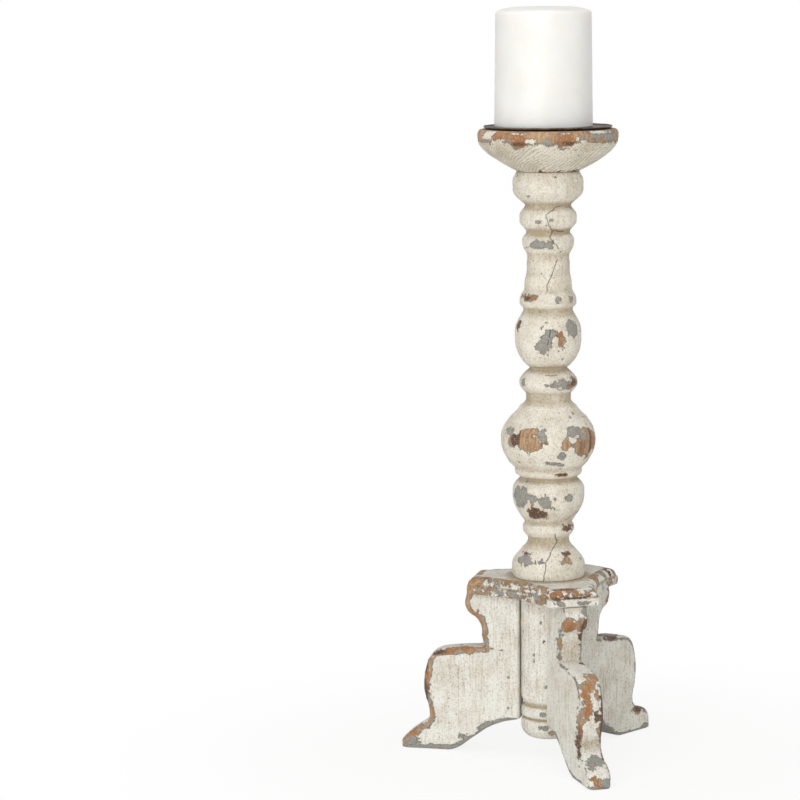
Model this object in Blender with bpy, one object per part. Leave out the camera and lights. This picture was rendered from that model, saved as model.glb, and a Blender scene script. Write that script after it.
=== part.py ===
# Turned wooden candlestick: tripod foot, baluster stem, dish, metal drip pan and a pillar candle.
# +Z is up, the front leg points along -Y, and the origin is under the middle of the foot.
import math

import bmesh
import bpy
from mathutils import Matrix, Vector

# Lengths are in millimetres and become metres through MM.
MM = 0.001
GAP = 0.3                     # clearance between pieces that touch

# Foot
LEG_NAMES = ("front", "right", "left")
LEG_AZIMUTHS = (-90.0, 30.0, 150.0)
LEG_REACH = 120.3             # stem axis to the tip of a toe
LEG_THICK = 20.0
LEG_EDGE = 2.5                # worn edge radius along both faces
LEG_BACK = 22.3               # stem axis to the leg's straight back edge
PLATFORM_UNDER = 130.7
PLATFORM_TOP = 144.3
PLATFORM_SHORT = 63.0         # stem axis to a short edge
PLATFORM_HOLLOW = 127.8       # radius of the hollow long edges
PLATFORM_HOLLOW_CENTRE = 168.6
PLATFORM_UPRIGHT = 7.0        # height of the plain lower edge
PLATFORM_STEP = 1.0           # little ledge above it
PLATFORM_ROUND = 6.6          # how far the quarter round comes in
POST_TOP = PLATFORM_UNDER - GAP
POST_RADIUS = 22.0
POST_BOTTOM = 14.5

# Stem, dish and pan
STEM_FOOT = PLATFORM_TOP + GAP
STEM_TOP = 465.3
DISH_FOOT = STEM_TOP + GAP
DISH_TOP = 498.2
DISH_RADIUS = 55.5
PAN_UNDER = DISH_TOP + GAP
PAN_SHEET = 1.0
PAN_RIM = 50.3
PAN_RIM_TOP = 501.0
PAN_FLAT = 45.5               # radius of the pan's flat floor
PAN_BEND = 2.7                # from the flat floor out to where the rim turns up
PAN_BEND_RISE = 0.35
PAN_LIP = 0.8                 # upright outer side of the rim

# Candle
CANDLE_FOOT = PAN_UNDER + PAN_SHEET + GAP
CANDLE_TOP = 593.0
CANDLE_FOOT_RADIUS = 38.5
CANDLE_TOP_RADIUS = 37.6
CANDLE_DOME = 6.0
CANDLE_SHIFT = (-3.1, 1.1)    # the candle stands a little off the stem axis
CANDLE_FOOT_BEVEL = 1.2
DOME_SPREAD = 0.55            # powers of the dome's superellipse
DOME_RISE = 0.9
WICK_RADIUS = 0.9

# Joinery
TIE_RADIUS = 4.0
TIE_TOP = 186.0
TIE_BOTTOM = 17.0
NUT_WIDTH = 13.0
NUT_HEIGHT = 6.5
WASHER_RADIUS = 9.0
WASHER_THICK = 1.6
RECESS_RADIUS = 11.0
RECESS_TOP = 28.0
DISH_DOWEL_RADIUS = 6.0
DISH_DOWEL_ENDS = (443.0, 479.0)
LEG_DOWEL_RADIUS = 4.0
LEG_DOWEL_ENDS = (9.0, 42.0)
LEG_DOWEL_HEIGHTS = (50.0, 106.0)
TOP_DOWEL_RADIUS = 3.0
TOP_DOWEL_ENDS = (116.0, 139.0)
TOP_DOWEL_REACH = 44.0
NAIL_RADIUS = 0.9
NAIL_HEIGHTS = (62.0, 37.0)
NAIL_START = (31.0, 9.0)      # along the leg, across the leg: just below its face
NAIL_END = (12.5, -1.5)
SCREW_HEAD = 4.0
SCREW_SHANK = 1.7
SCREW_TIP = 485.5
SCREW_TOP = PAN_UNDER + PAN_SHEET - GAP

# Mesh fineness
TURNED_SIDES = 24
DISH_SIDES = 40
RUN_STEPS = 3
DOWEL_SIDES = 12

# The bounding box is centred on the origin, so the stem axis stands behind it.
BACK_REACH = (LEG_REACH - LEG_EDGE) / 2 + (LEG_THICK / 2 - LEG_EDGE) * math.sqrt(3) / 2 + LEG_EDGE
AXIS_Y = (LEG_REACH - BACK_REACH) / 2

# Turned outlines, top to bottom. A station is height, radius, half its flat, and the fullness of
# the run from it down to the next one: a high number falls away from the crest early.
STEM_STATIONS = (
    (STEM_TOP, 24.6, 0.0, 1.5),
    (454.6, 27.7, 3.0, 1.3),
    (439.0, 18.0, 0.4, 1.9),
    (428.8, 22.4, 2.2, 1.9),
    (418.0, 17.2, 0.4, 2.0),
    (410.9, 20.35, 1.5, 1.5),
    (398.5, 16.5, 1.5, 1.0),
    (386.0, 17.0, 0.0, 1.0),
    (374.0, 18.8, 0.0, 2.0),
    (363.5, 22.3, 1.5, 2.0),
    (357.3, 19.25, 0.3, 1.5),
    (337.0, 26.1, 3.0, 0.75),
    (311.5, 14.6, 0.4, 1.3),
    (299.5, 22.85, 0.6, 1.4),
    (288.4, 17.7, 2.4, 1.45),
    (255.0, 37.4, 1.2, 1.0),
    (230.1, 26.5, 1.6, 1.5),
    (223.7, 22.55, 0.4, 1.0),
    (212.0, 28.4, 2.0, 1.15),
    (188.4, 18.65, 0.4, 1.5),
    (183.5, 20.25, 1.5, 2.4),
    (175.0, 16.3, 0.5, 2.1),
    (152.0, 29.0, 2.0, 1.0),
    (STEM_FOOT, 28.0, 0.0, 1.0),
)
DISH_STATIONS = (
    (DISH_TOP, 52.6, 0.0, 0.6),
    (493.2, DISH_RADIUS, 2.2, 1.42),
    (DISH_FOOT, 24.6, 0.0, 1.0),
)
POST_STATIONS = (
    (POST_TOP, POST_RADIUS, 0.0, 1.0),
    (48.0, POST_RADIUS, 0.0, 2.0),
    (41.0, 19.8, 0.4, 1.4),
    (35.8, POST_RADIUS, 2.6, 1.4),
    (30.5, 19.8, 0.3, 1.2),
    (25.5, POST_RADIUS, 2.0, 0.7),
    (POST_BOTTOM, 15.0, 0.0, 1.0),
)


def add_object(name, mesh, material, location=(0.0, AXIS_Y, 0.0), turn=0.0):
    piece = bpy.data.objects.new(name, mesh)
    piece.location = Vector(location) * MM
    piece.rotation_euler = (0.0, 0.0, math.radians(turn))
    bpy.context.collection.objects.link(piece)
    mesh.materials.clear()
    mesh.materials.append(material)
    return piece


def finish_mesh(bm, name, smooth_angle=38.0):
    bmesh.ops.remove_doubles(bm, verts=bm.verts, dist=1e-7)
    bmesh.ops.recalc_face_normals(bm, faces=bm.faces)
    mesh = bpy.data.meshes.new(name)
    bm.to_mesh(mesh)
    bm.free()
    mesh.shade_smooth()
    mesh.set_sharp_from_angle(angle=math.radians(smooth_angle))
    return mesh


def paint(name, colour, roughness, metallic=0.0):
    material = bpy.data.materials.new(name)
    material.use_nodes = True
    shader = material.node_tree.nodes["Principled BSDF"]
    shader.inputs["Base Color"].default_value = (*colour, 1.0)
    shader.inputs["Roughness"].default_value = roughness
    shader.inputs["Metallic"].default_value = metallic
    material.diffuse_color = (*colour, 1.0)
    return material


def turned_outline(stations, steps=RUN_STEPS):
    # Each run eases from the wider station to the narrower one by (1 - u^2) to its fullness.
    points = []
    for upper, lower in zip(stations, stations[1:]):
        top, bottom = upper[0] - upper[2], lower[0] + lower[2]
        crest, valley = max(upper[1], lower[1]), min(upper[1], lower[1])
        straight = upper[3] == 1.0 and crest - valley < 2.0
        if upper[2] > 0.0 or not points:
            points.append((upper[1], upper[0] + upper[2]))
        run_steps = 1 if straight else steps
        for step in range(run_steps + 1):
            along = step / run_steps
            u = along if upper[1] >= lower[1] else 1.0 - along
            radius = valley + (crest - valley) * (1.0 - u * u) ** upper[3]
            points.append((radius, top + (bottom - top) * along))
    return [point for place, point in enumerate(points) if place == 0 or point != points[place - 1]]


def turned_mesh(name, outline, sides=TURNED_SIDES, closed=False):
    # An outline that starts and ends on the axis is left open, and a ring's outline is closed.
    bm = bmesh.new()
    verts = [bm.verts.new((radius * MM, 0.0, height * MM)) for radius, height in outline]
    pairs = list(zip(verts, verts[1:]))
    if closed:
        pairs.append((verts[-1], verts[0]))
    edges = [bm.edges.new(pair) for pair in pairs]
    bmesh.ops.spin(bm, geom=verts + edges, cent=(0, 0, 0), axis=(0, 0, 1), dvec=(0, 0, 0),
                   angle=2.0 * math.pi, steps=sides, use_merge=True, use_duplicate=False)
    return finish_mesh(bm, name)


def rod(bm, start, end, radius, sides=DOWEL_SIDES):
    start, end = Vector(start) * MM, Vector(end) * MM
    run = end - start
    place = Matrix.Translation((start + end) / 2) @ run.to_track_quat("Z", "Y").to_matrix().to_4x4()
    bmesh.ops.create_cone(bm, cap_ends=True, segments=sides, radius1=radius * MM,
                          radius2=radius * MM, depth=run.length, matrix=place)


def rods_mesh(name, rods, spare=0.0):
    # A cutter for the same rods is wider and longer by the clearance.
    bm = bmesh.new()
    for start, end, radius, sides in rods:
        along = (Vector(end) - Vector(start)).normalized() * spare
        rod(bm, Vector(start) - along, Vector(end) + along, radius + spare, sides)
    return finish_mesh(bm, name)


def cut(mesh, cutter_mesh):
    # Returns the mesh with the cutter's shapes taken away.
    body = bpy.data.objects.new("body", mesh)
    cutter = bpy.data.objects.new("cutter", cutter_mesh)
    cutter.hide_render = True
    cutter.display_type = "WIRE"
    for piece in (body, cutter):
        bpy.context.collection.objects.link(piece)
    boolean = body.modifiers.new("holes", "BOOLEAN")
    boolean.operation = "DIFFERENCE"
    boolean.object = cutter
    graph = bpy.context.evaluated_depsgraph_get()
    result = bpy.data.meshes.new_from_object(body.evaluated_get(graph), depsgraph=graph)
    result.name = mesh.name
    bpy.data.objects.remove(body)
    bpy.data.objects.remove(cutter)
    return result


def smooth_run(points, steps):
    # Catmull-Rom curve through the points, without the last one.
    ends = [points[0]] + list(points) + [points[-1]]
    run = []
    for a, b, c, d in zip(ends, ends[1:], ends[2:], ends[3:]):
        for step in range(steps):
            t = step / steps
            weights = (-t + 2 * t * t - t ** 3, 2 - 5 * t * t + 3 * t ** 3,
                       t + 4 * t * t - 3 * t ** 3, t ** 3 - t * t)
            run.append(tuple(sum(w * p[axis] for w, p in zip(weights, (a, b, c, d))) / 2
                             for axis in (0, 1)))
    return run


def leg_outline():
    # Distance from the stem axis and height, round the board's face.
    nose = ((64.5, POST_TOP), (67.0, 121.5), (63.6, 113.2), (57.4, 109.0),
            (54.0, 103.0), (53.0, 95.0), (52.0, 86.0))
    shoulder = ((52.0, 86.0), (70.0, 84.6), (88.0, 81.8), (96.0, 75.5), (100.0, 64.6),
                (101.3, 53.3), (99.9, 42.9), (96.7, 32.6), (97.2, 25.0), (106.4, 17.8),
                (114.6, 11.2), (LEG_REACH, 4.2))
    arch = ((77.6, 0.0), (65.3, 7.2), (56.7, 13.7), (48.0, 19.6), (35.0, 25.0), (LEG_BACK, 28.4))
    outline = smooth_run(nose, 2) + smooth_run(shoulder, 2)
    outline += [(LEG_REACH, 4.2), (LEG_REACH - 0.3, 0.0)]
    outline += smooth_run(arch, 2) + [arch[-1], (LEG_BACK, POST_TOP)]
    return outline


def leg_rods():
    # Rods in one leg's own frame: x runs out along the leg, y across it.
    dowels = [((LEG_DOWEL_ENDS[0], 0.0, height), (LEG_DOWEL_ENDS[1], 0.0, height),
               LEG_DOWEL_RADIUS, DOWEL_SIDES) for height in LEG_DOWEL_HEIGHTS]
    nails = [((*NAIL_START, height), (*NAIL_END, height), NAIL_RADIUS, 8)
             for height in NAIL_HEIGHTS]
    top = [((TOP_DOWEL_REACH, 0.0, TOP_DOWEL_ENDS[0]), (TOP_DOWEL_REACH, 0.0, TOP_DOWEL_ENDS[1]),
            TOP_DOWEL_RADIUS, DOWEL_SIDES)]
    return dowels, nails, top


def turned_about_axis(rods, azimuth):
    spin = Matrix.Rotation(math.radians(azimuth), 3, "Z")
    return [(spin @ Vector(start), spin @ Vector(end), radius, sides)
            for start, end, radius, sides in rods]


def leg_mesh():
    bm = bmesh.new()
    face = bm.faces.new([bm.verts.new((reach * MM, -LEG_THICK / 2 * MM, height * MM))
                         for reach, height in leg_outline()])
    extruded = bmesh.ops.extrude_face_region(bm, geom=[face], use_keep_orig=True)
    moved = [item for item in extruded["geom"] if isinstance(item, bmesh.types.BMVert)]
    bmesh.ops.translate(bm, vec=(0.0, LEG_THICK * MM, 0.0), verts=moved)
    caps = [side for side in bm.faces if len(side.verts) > 4]
    rims = {edge for cap in caps for edge in cap.edges}
    bmesh.ops.bevel(bm, geom=list(rims), offset=LEG_EDGE * MM, segments=2, profile=0.5,
                    affect="EDGES", clamp_overlap=True)
    dowels, nails, top = leg_rods()
    holes = rods_mesh("leg_holes", dowels + nails + top, GAP)
    nail_mouths = [((*NAIL_START, height), (2 * NAIL_START[0] - NAIL_END[0],
                    2 * NAIL_START[1] - NAIL_END[1], height), NAIL_RADIUS + GAP, 8)
                   for height in NAIL_HEIGHTS]
    return cut(cut(finish_mesh(bm, "leg"), holes), rods_mesh("nail_mouths", nail_mouths))


def platform_outline(inset):
    # Short edges face the legs. The long edges are hollow arcs, so an inset widens their radius.
    centre = Vector((math.cos(math.radians(60)), math.sin(math.radians(60)))) * PLATFORM_HOLLOW_CENTRE
    reach = PLATFORM_SHORT - inset
    radius = PLATFORM_HOLLOW + inset
    corner = centre.y - math.sqrt(radius ** 2 - (reach - centre.x) ** 2)
    first = math.atan2(corner - centre.y, reach - centre.x)
    middle = math.radians(240.0) - 2.0 * math.pi
    points = []
    for azimuth in LEG_AZIMUTHS:
        spin = Matrix.Rotation(math.radians(azimuth), 2)
        for step in range(9):
            angle = first + (middle - first) * step / 4
            points.append(spin @ (centre + radius * Vector((math.cos(angle), math.sin(angle)))))
    return points


def platform_mesh():
    # Upright lower edge, a small step, then a quarter round up to the top face.
    step_height = PLATFORM_UNDER + PLATFORM_UPRIGHT
    rise = PLATFORM_TOP - step_height
    levels = [(0.0, PLATFORM_UNDER), (0.0, step_height)]
    for turn in range(5):
        angle = math.radians(90.0 * turn / 4)
        inset = PLATFORM_STEP + PLATFORM_ROUND * (1.0 - math.cos(angle))
        levels.append((inset, step_height + rise * math.sin(angle)))
    bm = bmesh.new()
    rings = [[bm.verts.new((point.x * MM, point.y * MM, height * MM))
              for point in platform_outline(inset)] for inset, height in levels]
    for lower, upper in zip(rings, rings[1:]):
        for place in range(len(lower)):
            after = (place + 1) % len(lower)
            bm.faces.new((lower[place], lower[after], upper[after], upper[place]))
    bm.faces.new(rings[0][::-1])
    bm.faces.new(rings[-1])
    top_dowels = [turned for azimuth in LEG_AZIMUTHS
                  for turned in turned_about_axis(leg_rods()[2], azimuth)]
    bore = ((0, 0, PLATFORM_UNDER - 5), (0, 0, PLATFORM_TOP + 5), TIE_RADIUS, 16)
    return cut(finish_mesh(bm, "platform"), rods_mesh("platform_holes", top_dowels + [bore], GAP))


def post_mesh():
    bore = TIE_RADIUS + GAP
    outline = [(bore, POST_TOP)] + turned_outline(POST_STATIONS)
    outline += [(RECESS_RADIUS, POST_BOTTOM), (RECESS_RADIUS, RECESS_TOP), (bore, RECESS_TOP)]
    dowels, nails, top = leg_rods()
    holes = [turned for azimuth in LEG_AZIMUTHS
             for turned in turned_about_axis(dowels + nails, azimuth)]
    return cut(turned_mesh("centre_post", outline, 20, closed=True),
               rods_mesh("post_holes", holes, GAP))


def stem_mesh():
    socket = DISH_DOWEL_RADIUS + GAP
    bore = TIE_RADIUS + GAP
    outline = [(0.0, DISH_DOWEL_ENDS[0] - GAP), (socket, DISH_DOWEL_ENDS[0] - GAP), (socket, STEM_TOP)]
    outline += turned_outline(STEM_STATIONS)
    outline += [(bore, STEM_FOOT), (bore, TIE_TOP + GAP), (0.0, TIE_TOP + GAP)]
    return turned_mesh("stem", outline)


def dish_mesh():
    # The countersink under the pan's dimple is at 45 degrees.
    socket = DISH_DOWEL_RADIUS + GAP
    pilot = SCREW_SHANK + GAP
    sink = SCREW_HEAD + 0.5
    outline = [(0.0, SCREW_TIP - GAP), (pilot, SCREW_TIP - GAP), (pilot, DISH_TOP - (sink - pilot))]
    outline += [(sink, DISH_TOP)] + turned_outline(DISH_STATIONS)
    outline += [(socket, DISH_FOOT), (socket, DISH_DOWEL_ENDS[1] + GAP), (0.0, DISH_DOWEL_ENDS[1] + GAP)]
    return turned_mesh("dish", outline, DISH_SIDES)


def pan_mesh():
    # Sheet floor with a screw dimple in the middle and a rim that turns up.
    sink, hole = SCREW_HEAD + 0.5, SCREW_SHANK + 0.4
    under, floor = PAN_UNDER, PAN_UNDER + PAN_SHEET
    bend = PAN_FLAT + PAN_BEND
    outline = [(hole, floor - (sink - hole)), (sink, floor), (PAN_FLAT, floor),
               (bend, floor + PAN_BEND_RISE), (PAN_RIM - PAN_SHEET, PAN_RIM_TOP),
               (PAN_RIM, PAN_RIM_TOP), (PAN_RIM, PAN_RIM_TOP - PAN_LIP),
               (bend + 0.7, under + PAN_BEND_RISE), (PAN_FLAT + 0.4, under),
               (sink, under), (hole, under - (sink - hole))]
    return turned_mesh("drip_pan", outline, DISH_SIDES, closed=True)


def screw_mesh():
    head = SCREW_TOP - (SCREW_HEAD - SCREW_SHANK)
    outline = [(0.0, SCREW_TOP), (SCREW_HEAD, SCREW_TOP), (SCREW_SHANK, head),
               (SCREW_SHANK, SCREW_TIP + 3.0), (0.0, SCREW_TIP)]
    return turned_mesh("pan_screw", outline, 12)


def candle_mesh():
    # The top is a low dome whose shoulder is a rounded superellipse.
    hole = WICK_RADIUS + GAP
    spring = CANDLE_TOP - CANDLE_DOME
    outline = [(hole, CANDLE_TOP)]
    for step in range(1, 8):
        angle = math.radians(90.0 * (7 - step) / 7)
        radius = CANDLE_TOP_RADIUS * math.cos(angle) ** DOME_SPREAD
        outline.append((radius, spring + CANDLE_DOME * math.sin(angle) ** DOME_RISE))
    outline += [(CANDLE_FOOT_RADIUS, CANDLE_FOOT + CANDLE_FOOT_BEVEL),
                (CANDLE_FOOT_RADIUS - CANDLE_FOOT_BEVEL, CANDLE_FOOT), (hole, CANDLE_FOOT)]
    return turned_mesh("candle", outline, 32, closed=True)


def nut_mesh():
    bore = TIE_RADIUS + GAP
    top = RECESS_TOP - GAP - WASHER_THICK - GAP
    bm = bmesh.new()
    corner = NUT_WIDTH / math.sqrt(3)
    foot = top - NUT_HEIGHT
    for radius, height in ((corner, foot), (corner, top), (bore, top), (bore, foot)):
        for side in range(12):
            angle = math.radians(30 * side)
            at_corner = side % 2 == 0
            reach = radius if radius == bore or at_corner else radius * math.cos(math.radians(30))
            bm.verts.new((reach * math.cos(angle) * MM, reach * math.sin(angle) * MM, height * MM))
    bm.verts.ensure_lookup_table()
    for ring in range(4):
        for side in range(12):
            after = (side + 1) % 12
            lower, upper = ring * 12, (ring + 1) % 4 * 12
            corners = (lower + side, lower + after, upper + after, upper + side)
            bm.faces.new([bm.verts[i] for i in corners])
    return finish_mesh(bm, "tie_nut", 20.0)


def washer_mesh():
    bore = TIE_RADIUS + GAP
    top = RECESS_TOP - GAP
    foot = top - WASHER_THICK
    outline = [(bore, top), (WASHER_RADIUS, top), (WASHER_RADIUS, foot), (bore, foot)]
    return turned_mesh("tie_washer", outline, 20, closed=True)


def build():
    for old in list(bpy.data.objects):
        bpy.data.objects.remove(old)
    chalk = paint("chalk_paint", (0.70, 0.64, 0.53), 0.8)
    beech = paint("beech", (0.46, 0.30, 0.16), 0.65)
    steel = paint("zinc_plated_steel", (0.55, 0.55, 0.56), 0.35, 1.0)
    iron = paint("lacquered_iron", (0.035, 0.022, 0.017), 0.5, 0.6)
    wax = paint("wax", (0.93, 0.92, 0.90), 0.45)
    cotton = paint("wick_cotton", (0.85, 0.83, 0.78), 0.9)

    leg = leg_mesh()
    dowels, nails, top = leg_rods()
    joinery = [("leg_dowel_upper_", dowels[1], beech), ("leg_dowel_lower_", dowels[0], beech),
               ("leg_nail_upper_", nails[0], steel), ("leg_nail_lower_", nails[1], steel),
               ("platform_dowel_", top[0], beech)]
    rod_meshes = [(name, rods_mesh(name + "rod", [rod_ends]), material)
                  for name, rod_ends, material in joinery]
    for name, azimuth in zip(LEG_NAMES, LEG_AZIMUTHS):
        add_object("leg_" + name, leg, chalk, turn=azimuth)
        for rod_name, rod_mesh, material in rod_meshes:
            add_object(rod_name + name, rod_mesh, material, turn=azimuth)
    add_object("centre_post", post_mesh(), chalk)
    add_object("platform", platform_mesh(), chalk)
    add_object("stem", stem_mesh(), chalk)
    add_object("dish", dish_mesh(), chalk)
    add_object("drip_pan", pan_mesh(), iron)
    add_object("pan_screw", screw_mesh(), steel)
    tie = rods_mesh("tie_rod", [((0, 0, TIE_BOTTOM), (0, 0, TIE_TOP), TIE_RADIUS, 16)])
    add_object("tie_rod", tie, steel)
    add_object("tie_nut", nut_mesh(), steel)
    add_object("tie_washer", washer_mesh(), steel)
    ends = [(0, 0, height) for height in DISH_DOWEL_ENDS]
    add_object("dish_dowel", rods_mesh("dish_dowel", [(*ends, DISH_DOWEL_RADIUS, 16)]), beech)

    # The candle and its wick lift off together along the candle's own axis.
    seat = bpy.data.objects.new("candle_seat", None)
    seat.location = Vector((CANDLE_SHIFT[0], AXIS_Y + CANDLE_SHIFT[1], 0.0)) * MM
    bpy.context.collection.objects.link(seat)
    wick = rods_mesh("candle_wick", [((0, 0, CANDLE_FOOT + 0.4), (0, 0, CANDLE_TOP - 0.5), WICK_RADIUS, 8)])
    for piece in (add_object("candle", candle_mesh(), wax, (0, 0, 0)),
                  add_object("candle_wick", wick, cotton, (0, 0, 0))):
        piece.parent = seat


build()
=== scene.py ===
# Looks of a turned wooden candlestick in worn chalk paint, with a metal drip pan and a pillar candle.
# Lengths in this file are millimetres until a mesh is made; the frame's own boxes are in metres.
import math

import bpy
import numpy as np
from mathutils import Matrix, Vector


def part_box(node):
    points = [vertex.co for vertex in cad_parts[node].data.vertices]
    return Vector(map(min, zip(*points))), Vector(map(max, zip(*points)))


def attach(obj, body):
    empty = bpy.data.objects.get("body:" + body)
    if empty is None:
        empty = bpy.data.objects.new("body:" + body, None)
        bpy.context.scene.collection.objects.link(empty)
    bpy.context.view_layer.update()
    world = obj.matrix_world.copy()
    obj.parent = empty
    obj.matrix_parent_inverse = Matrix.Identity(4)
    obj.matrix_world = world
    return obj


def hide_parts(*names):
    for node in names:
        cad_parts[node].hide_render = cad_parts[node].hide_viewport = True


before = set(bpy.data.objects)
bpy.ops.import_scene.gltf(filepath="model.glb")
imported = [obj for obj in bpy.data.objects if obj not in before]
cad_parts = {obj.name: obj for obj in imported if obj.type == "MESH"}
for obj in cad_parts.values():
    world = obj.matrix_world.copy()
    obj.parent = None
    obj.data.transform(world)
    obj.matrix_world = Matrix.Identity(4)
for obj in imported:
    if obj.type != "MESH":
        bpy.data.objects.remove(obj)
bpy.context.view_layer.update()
mm = 0.001
showSide = -109.3   # degrees round the stem from +X to the side that faces the viewer


def nodeBox(node):
    # lowest and highest corner of a frame node in millimetres
    low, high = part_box(node)
    return np.array(low) / mm, np.array(high) / mm


def easeStep(x, low, high):
    # 0 below low, 1 above high, a smooth S between
    t = np.clip((x - low) / (high - low), 0.0, 1.0)
    return t * t * (3.0 - 2.0 * t)


def hashNumber(ix, iy, iz, seed):
    # an even scatter of 0..1 from whole-number cells
    with np.errstate(over="ignore"):
        h = (ix.astype(np.uint32) * np.uint32(374761393) + iy.astype(np.uint32) * np.uint32(668265263)
             + iz.astype(np.uint32) * np.uint32(2246822519) + np.uint32(seed * 7919 + 17))
        h = (h ^ (h >> np.uint32(13))) * np.uint32(1274126177)
        h = (h ^ (h >> np.uint32(15))) * np.uint32(2654435761)
    return (h ^ (h >> np.uint32(16))).astype(np.float64) / 4294967295.0


def softNoise(p, size, seed):
    # value noise, -1..1: random corners of cells of that size, blended by the quintic curve
    q = p / size
    cell = np.floor(q).astype(np.int64)
    f = q - cell
    f = f * f * f * (f * (f * 6.0 - 15.0) + 10.0)
    total = 0.0
    for dx in (0, 1):
        wx = f[..., 0] if dx else 1.0 - f[..., 0]
        for dy in (0, 1):
            wy = f[..., 1] if dy else 1.0 - f[..., 1]
            for dz in (0, 1):
                wz = f[..., 2] if dz else 1.0 - f[..., 2]
                corner = hashNumber(cell[..., 0] + dx, cell[..., 1] + dy, cell[..., 2] + dz, seed)
                total = total + wx * wy * wz * corner
    return total * 2.0 - 1.0


def layeredNoise(p, size, seed, layers=3, fade=0.55):
    # octaves of the same noise, each half the size of the last
    total, weight, full = 0.0, 1.0, 0.0
    for layer in range(layers):
        total = total + weight * softNoise(p, size * 0.5 ** layer, seed + 31 * layer)
        full += weight
        weight *= fade
    return total / full


def turnedProfile(stations, rows):
    # Height and radius along a turned outline, top to bottom. Each station is height, radius, half
    # its flat, and the fullness of the run below it: radius falls from crest to valley by
    # (1 - u^2) to that power. The result is spaced evenly along the outline.
    heights, radii = [], []
    for upper, lower in zip(stations, stations[1:]):
        t = np.linspace(0.0, 1.0, 40)
        crest, valley = max(upper[1], lower[1]), min(upper[1], lower[1])
        u = t if upper[1] >= lower[1] else 1.0 - t
        top, bottom = upper[0] - upper[2], lower[0] + lower[2]
        heights.append(top + (bottom - top) * t)
        radii.append(valley + (crest - valley) * (1.0 - u * u) ** upper[3])
    z, r = np.concatenate(heights), np.concatenate(radii)
    run = np.concatenate([[0.0], np.cumsum(np.hypot(np.diff(z), np.diff(r)))])
    keep = np.concatenate([[True], np.diff(run) > 1e-6])
    even = np.linspace(0.0, run[-1], rows)
    return np.interp(even, run[keep], z[keep]), np.interp(even, run[keep], r[keep])


def gridMesh(name, points, fields, ringRows=False):
    # Faces over a grid of rows and columns. Columns close into a loop. Rows close too when ringRows
    # is set, or else the first and the last row are poles. Rows run down and columns run
    # anticlockwise seen from above, so row direction x column direction points outwards.
    rows, columns = points.shape[:2]
    index = np.arange(rows * columns).reshape(rows, columns)
    if not ringRows:
        index[0, :] = index[0, 0]
        index[-1, :] = index[-1, 0]
    below = np.roll(index, -1, axis=0) if ringRows else index[1:]
    above = index if ringRows else index[:-1]
    a, b = above, below
    c, d = np.roll(below, -1, axis=1), np.roll(above, -1, axis=1)
    quads = np.stack([a, b, c, d], axis=-1)
    body = quads if ringRows else quads[1:-1]
    used = np.unique(index)
    lookup = np.zeros(rows * columns, np.int64)
    lookup[used] = np.arange(len(used))
    loops = [lookup[body.reshape(-1)]]
    sizes = [np.full(body.reshape(-1, 4).shape[0], 4)]
    if not ringRows:
        first = np.stack([a[0], b[0], c[0]], axis=-1)
        last = np.stack([a[-1], b[-1], d[-1]], axis=-1)
        loops += [lookup[first.reshape(-1)], lookup[last.reshape(-1)]]
        sizes += [np.full(columns, 3), np.full(columns, 3)]
    loops, sizes = np.concatenate(loops), np.concatenate(sizes)
    mesh = bpy.data.meshes.new(name)
    mesh.vertices.add(len(used))
    mesh.vertices.foreach_set("co", (points.reshape(-1, 3)[used] * mm).astype(np.float32).ravel())
    mesh.loops.add(len(loops))
    mesh.loops.foreach_set("vertex_index", loops.astype(np.int32))
    mesh.polygons.add(len(sizes))
    starts = np.concatenate([[0], np.cumsum(sizes)[:-1]])
    mesh.polygons.foreach_set("loop_start", starts.astype(np.int32))
    mesh.update(calc_edges=True)
    mesh.validate()
    for key, values in fields.items():
        flat = values.reshape(rows * columns, -1)[used].astype(np.float32)
        kind = "FLOAT_VECTOR" if flat.shape[1] == 3 else "FLOAT"
        layer = mesh.attributes.new(key, kind, "POINT")
        layer.data.foreach_set("vector" if flat.shape[1] == 3 else "value", flat.ravel())
    mesh.shade_smooth()
    piece = bpy.data.objects.new(name, mesh)
    bpy.context.scene.collection.objects.link(piece)
    return piece


def gridNormals(points, ringRows=False):
    # unit cross product of the row and the column differences
    down = np.gradient(points, axis=0)
    if ringRows:
        down = np.roll(points, -1, axis=0) - np.roll(points, 1, axis=0)
    across = np.roll(points, -1, axis=1) - np.roll(points, 1, axis=1)
    normals = np.cross(down, across)
    return normals / np.maximum(np.linalg.norm(normals, axis=-1, keepdims=True), 1e-9)


def settle(piece, body, nodes, material):
    # the piece moves with its body, stands for its frame nodes and takes its finish
    piece.data.materials.append(material)
    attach(piece, body)
    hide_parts(*nodes)
    print("made", piece.name, "with", len(piece.data.polygons), "faces")
    return piece


def linearColour(code):
    # sRGB hex to the linear colour a shader takes
    parts = [int(code[i:i + 2], 16) / 255.0 for i in (1, 3, 5)]
    return tuple(p / 12.92 if p <= 0.04045 else ((p + 0.055) / 1.055) ** 2.4 for p in parts) + (1.0,)


def addNode(tree, kind, inputs=None, **settings):
    # one node with its settings; an input takes a value, a hex colour or another node's output
    node = tree.nodes.new("ShaderNode" + kind)
    for key, value in settings.items():
        setattr(node, key, value)
    for key, value in (inputs or {}).items():
        if isinstance(value, bpy.types.NodeSocket):
            tree.links.new(value, node.inputs[key])
        else:
            node.inputs[key].default_value = linearColour(value) if isinstance(value, str) else value
    return node


def newMaterial(name):
    material = bpy.data.materials.new(name)
    material.use_nodes = True
    tree = material.node_tree
    shader = tree.nodes["Principled BSDF"]
    return material, tree, shader


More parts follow.
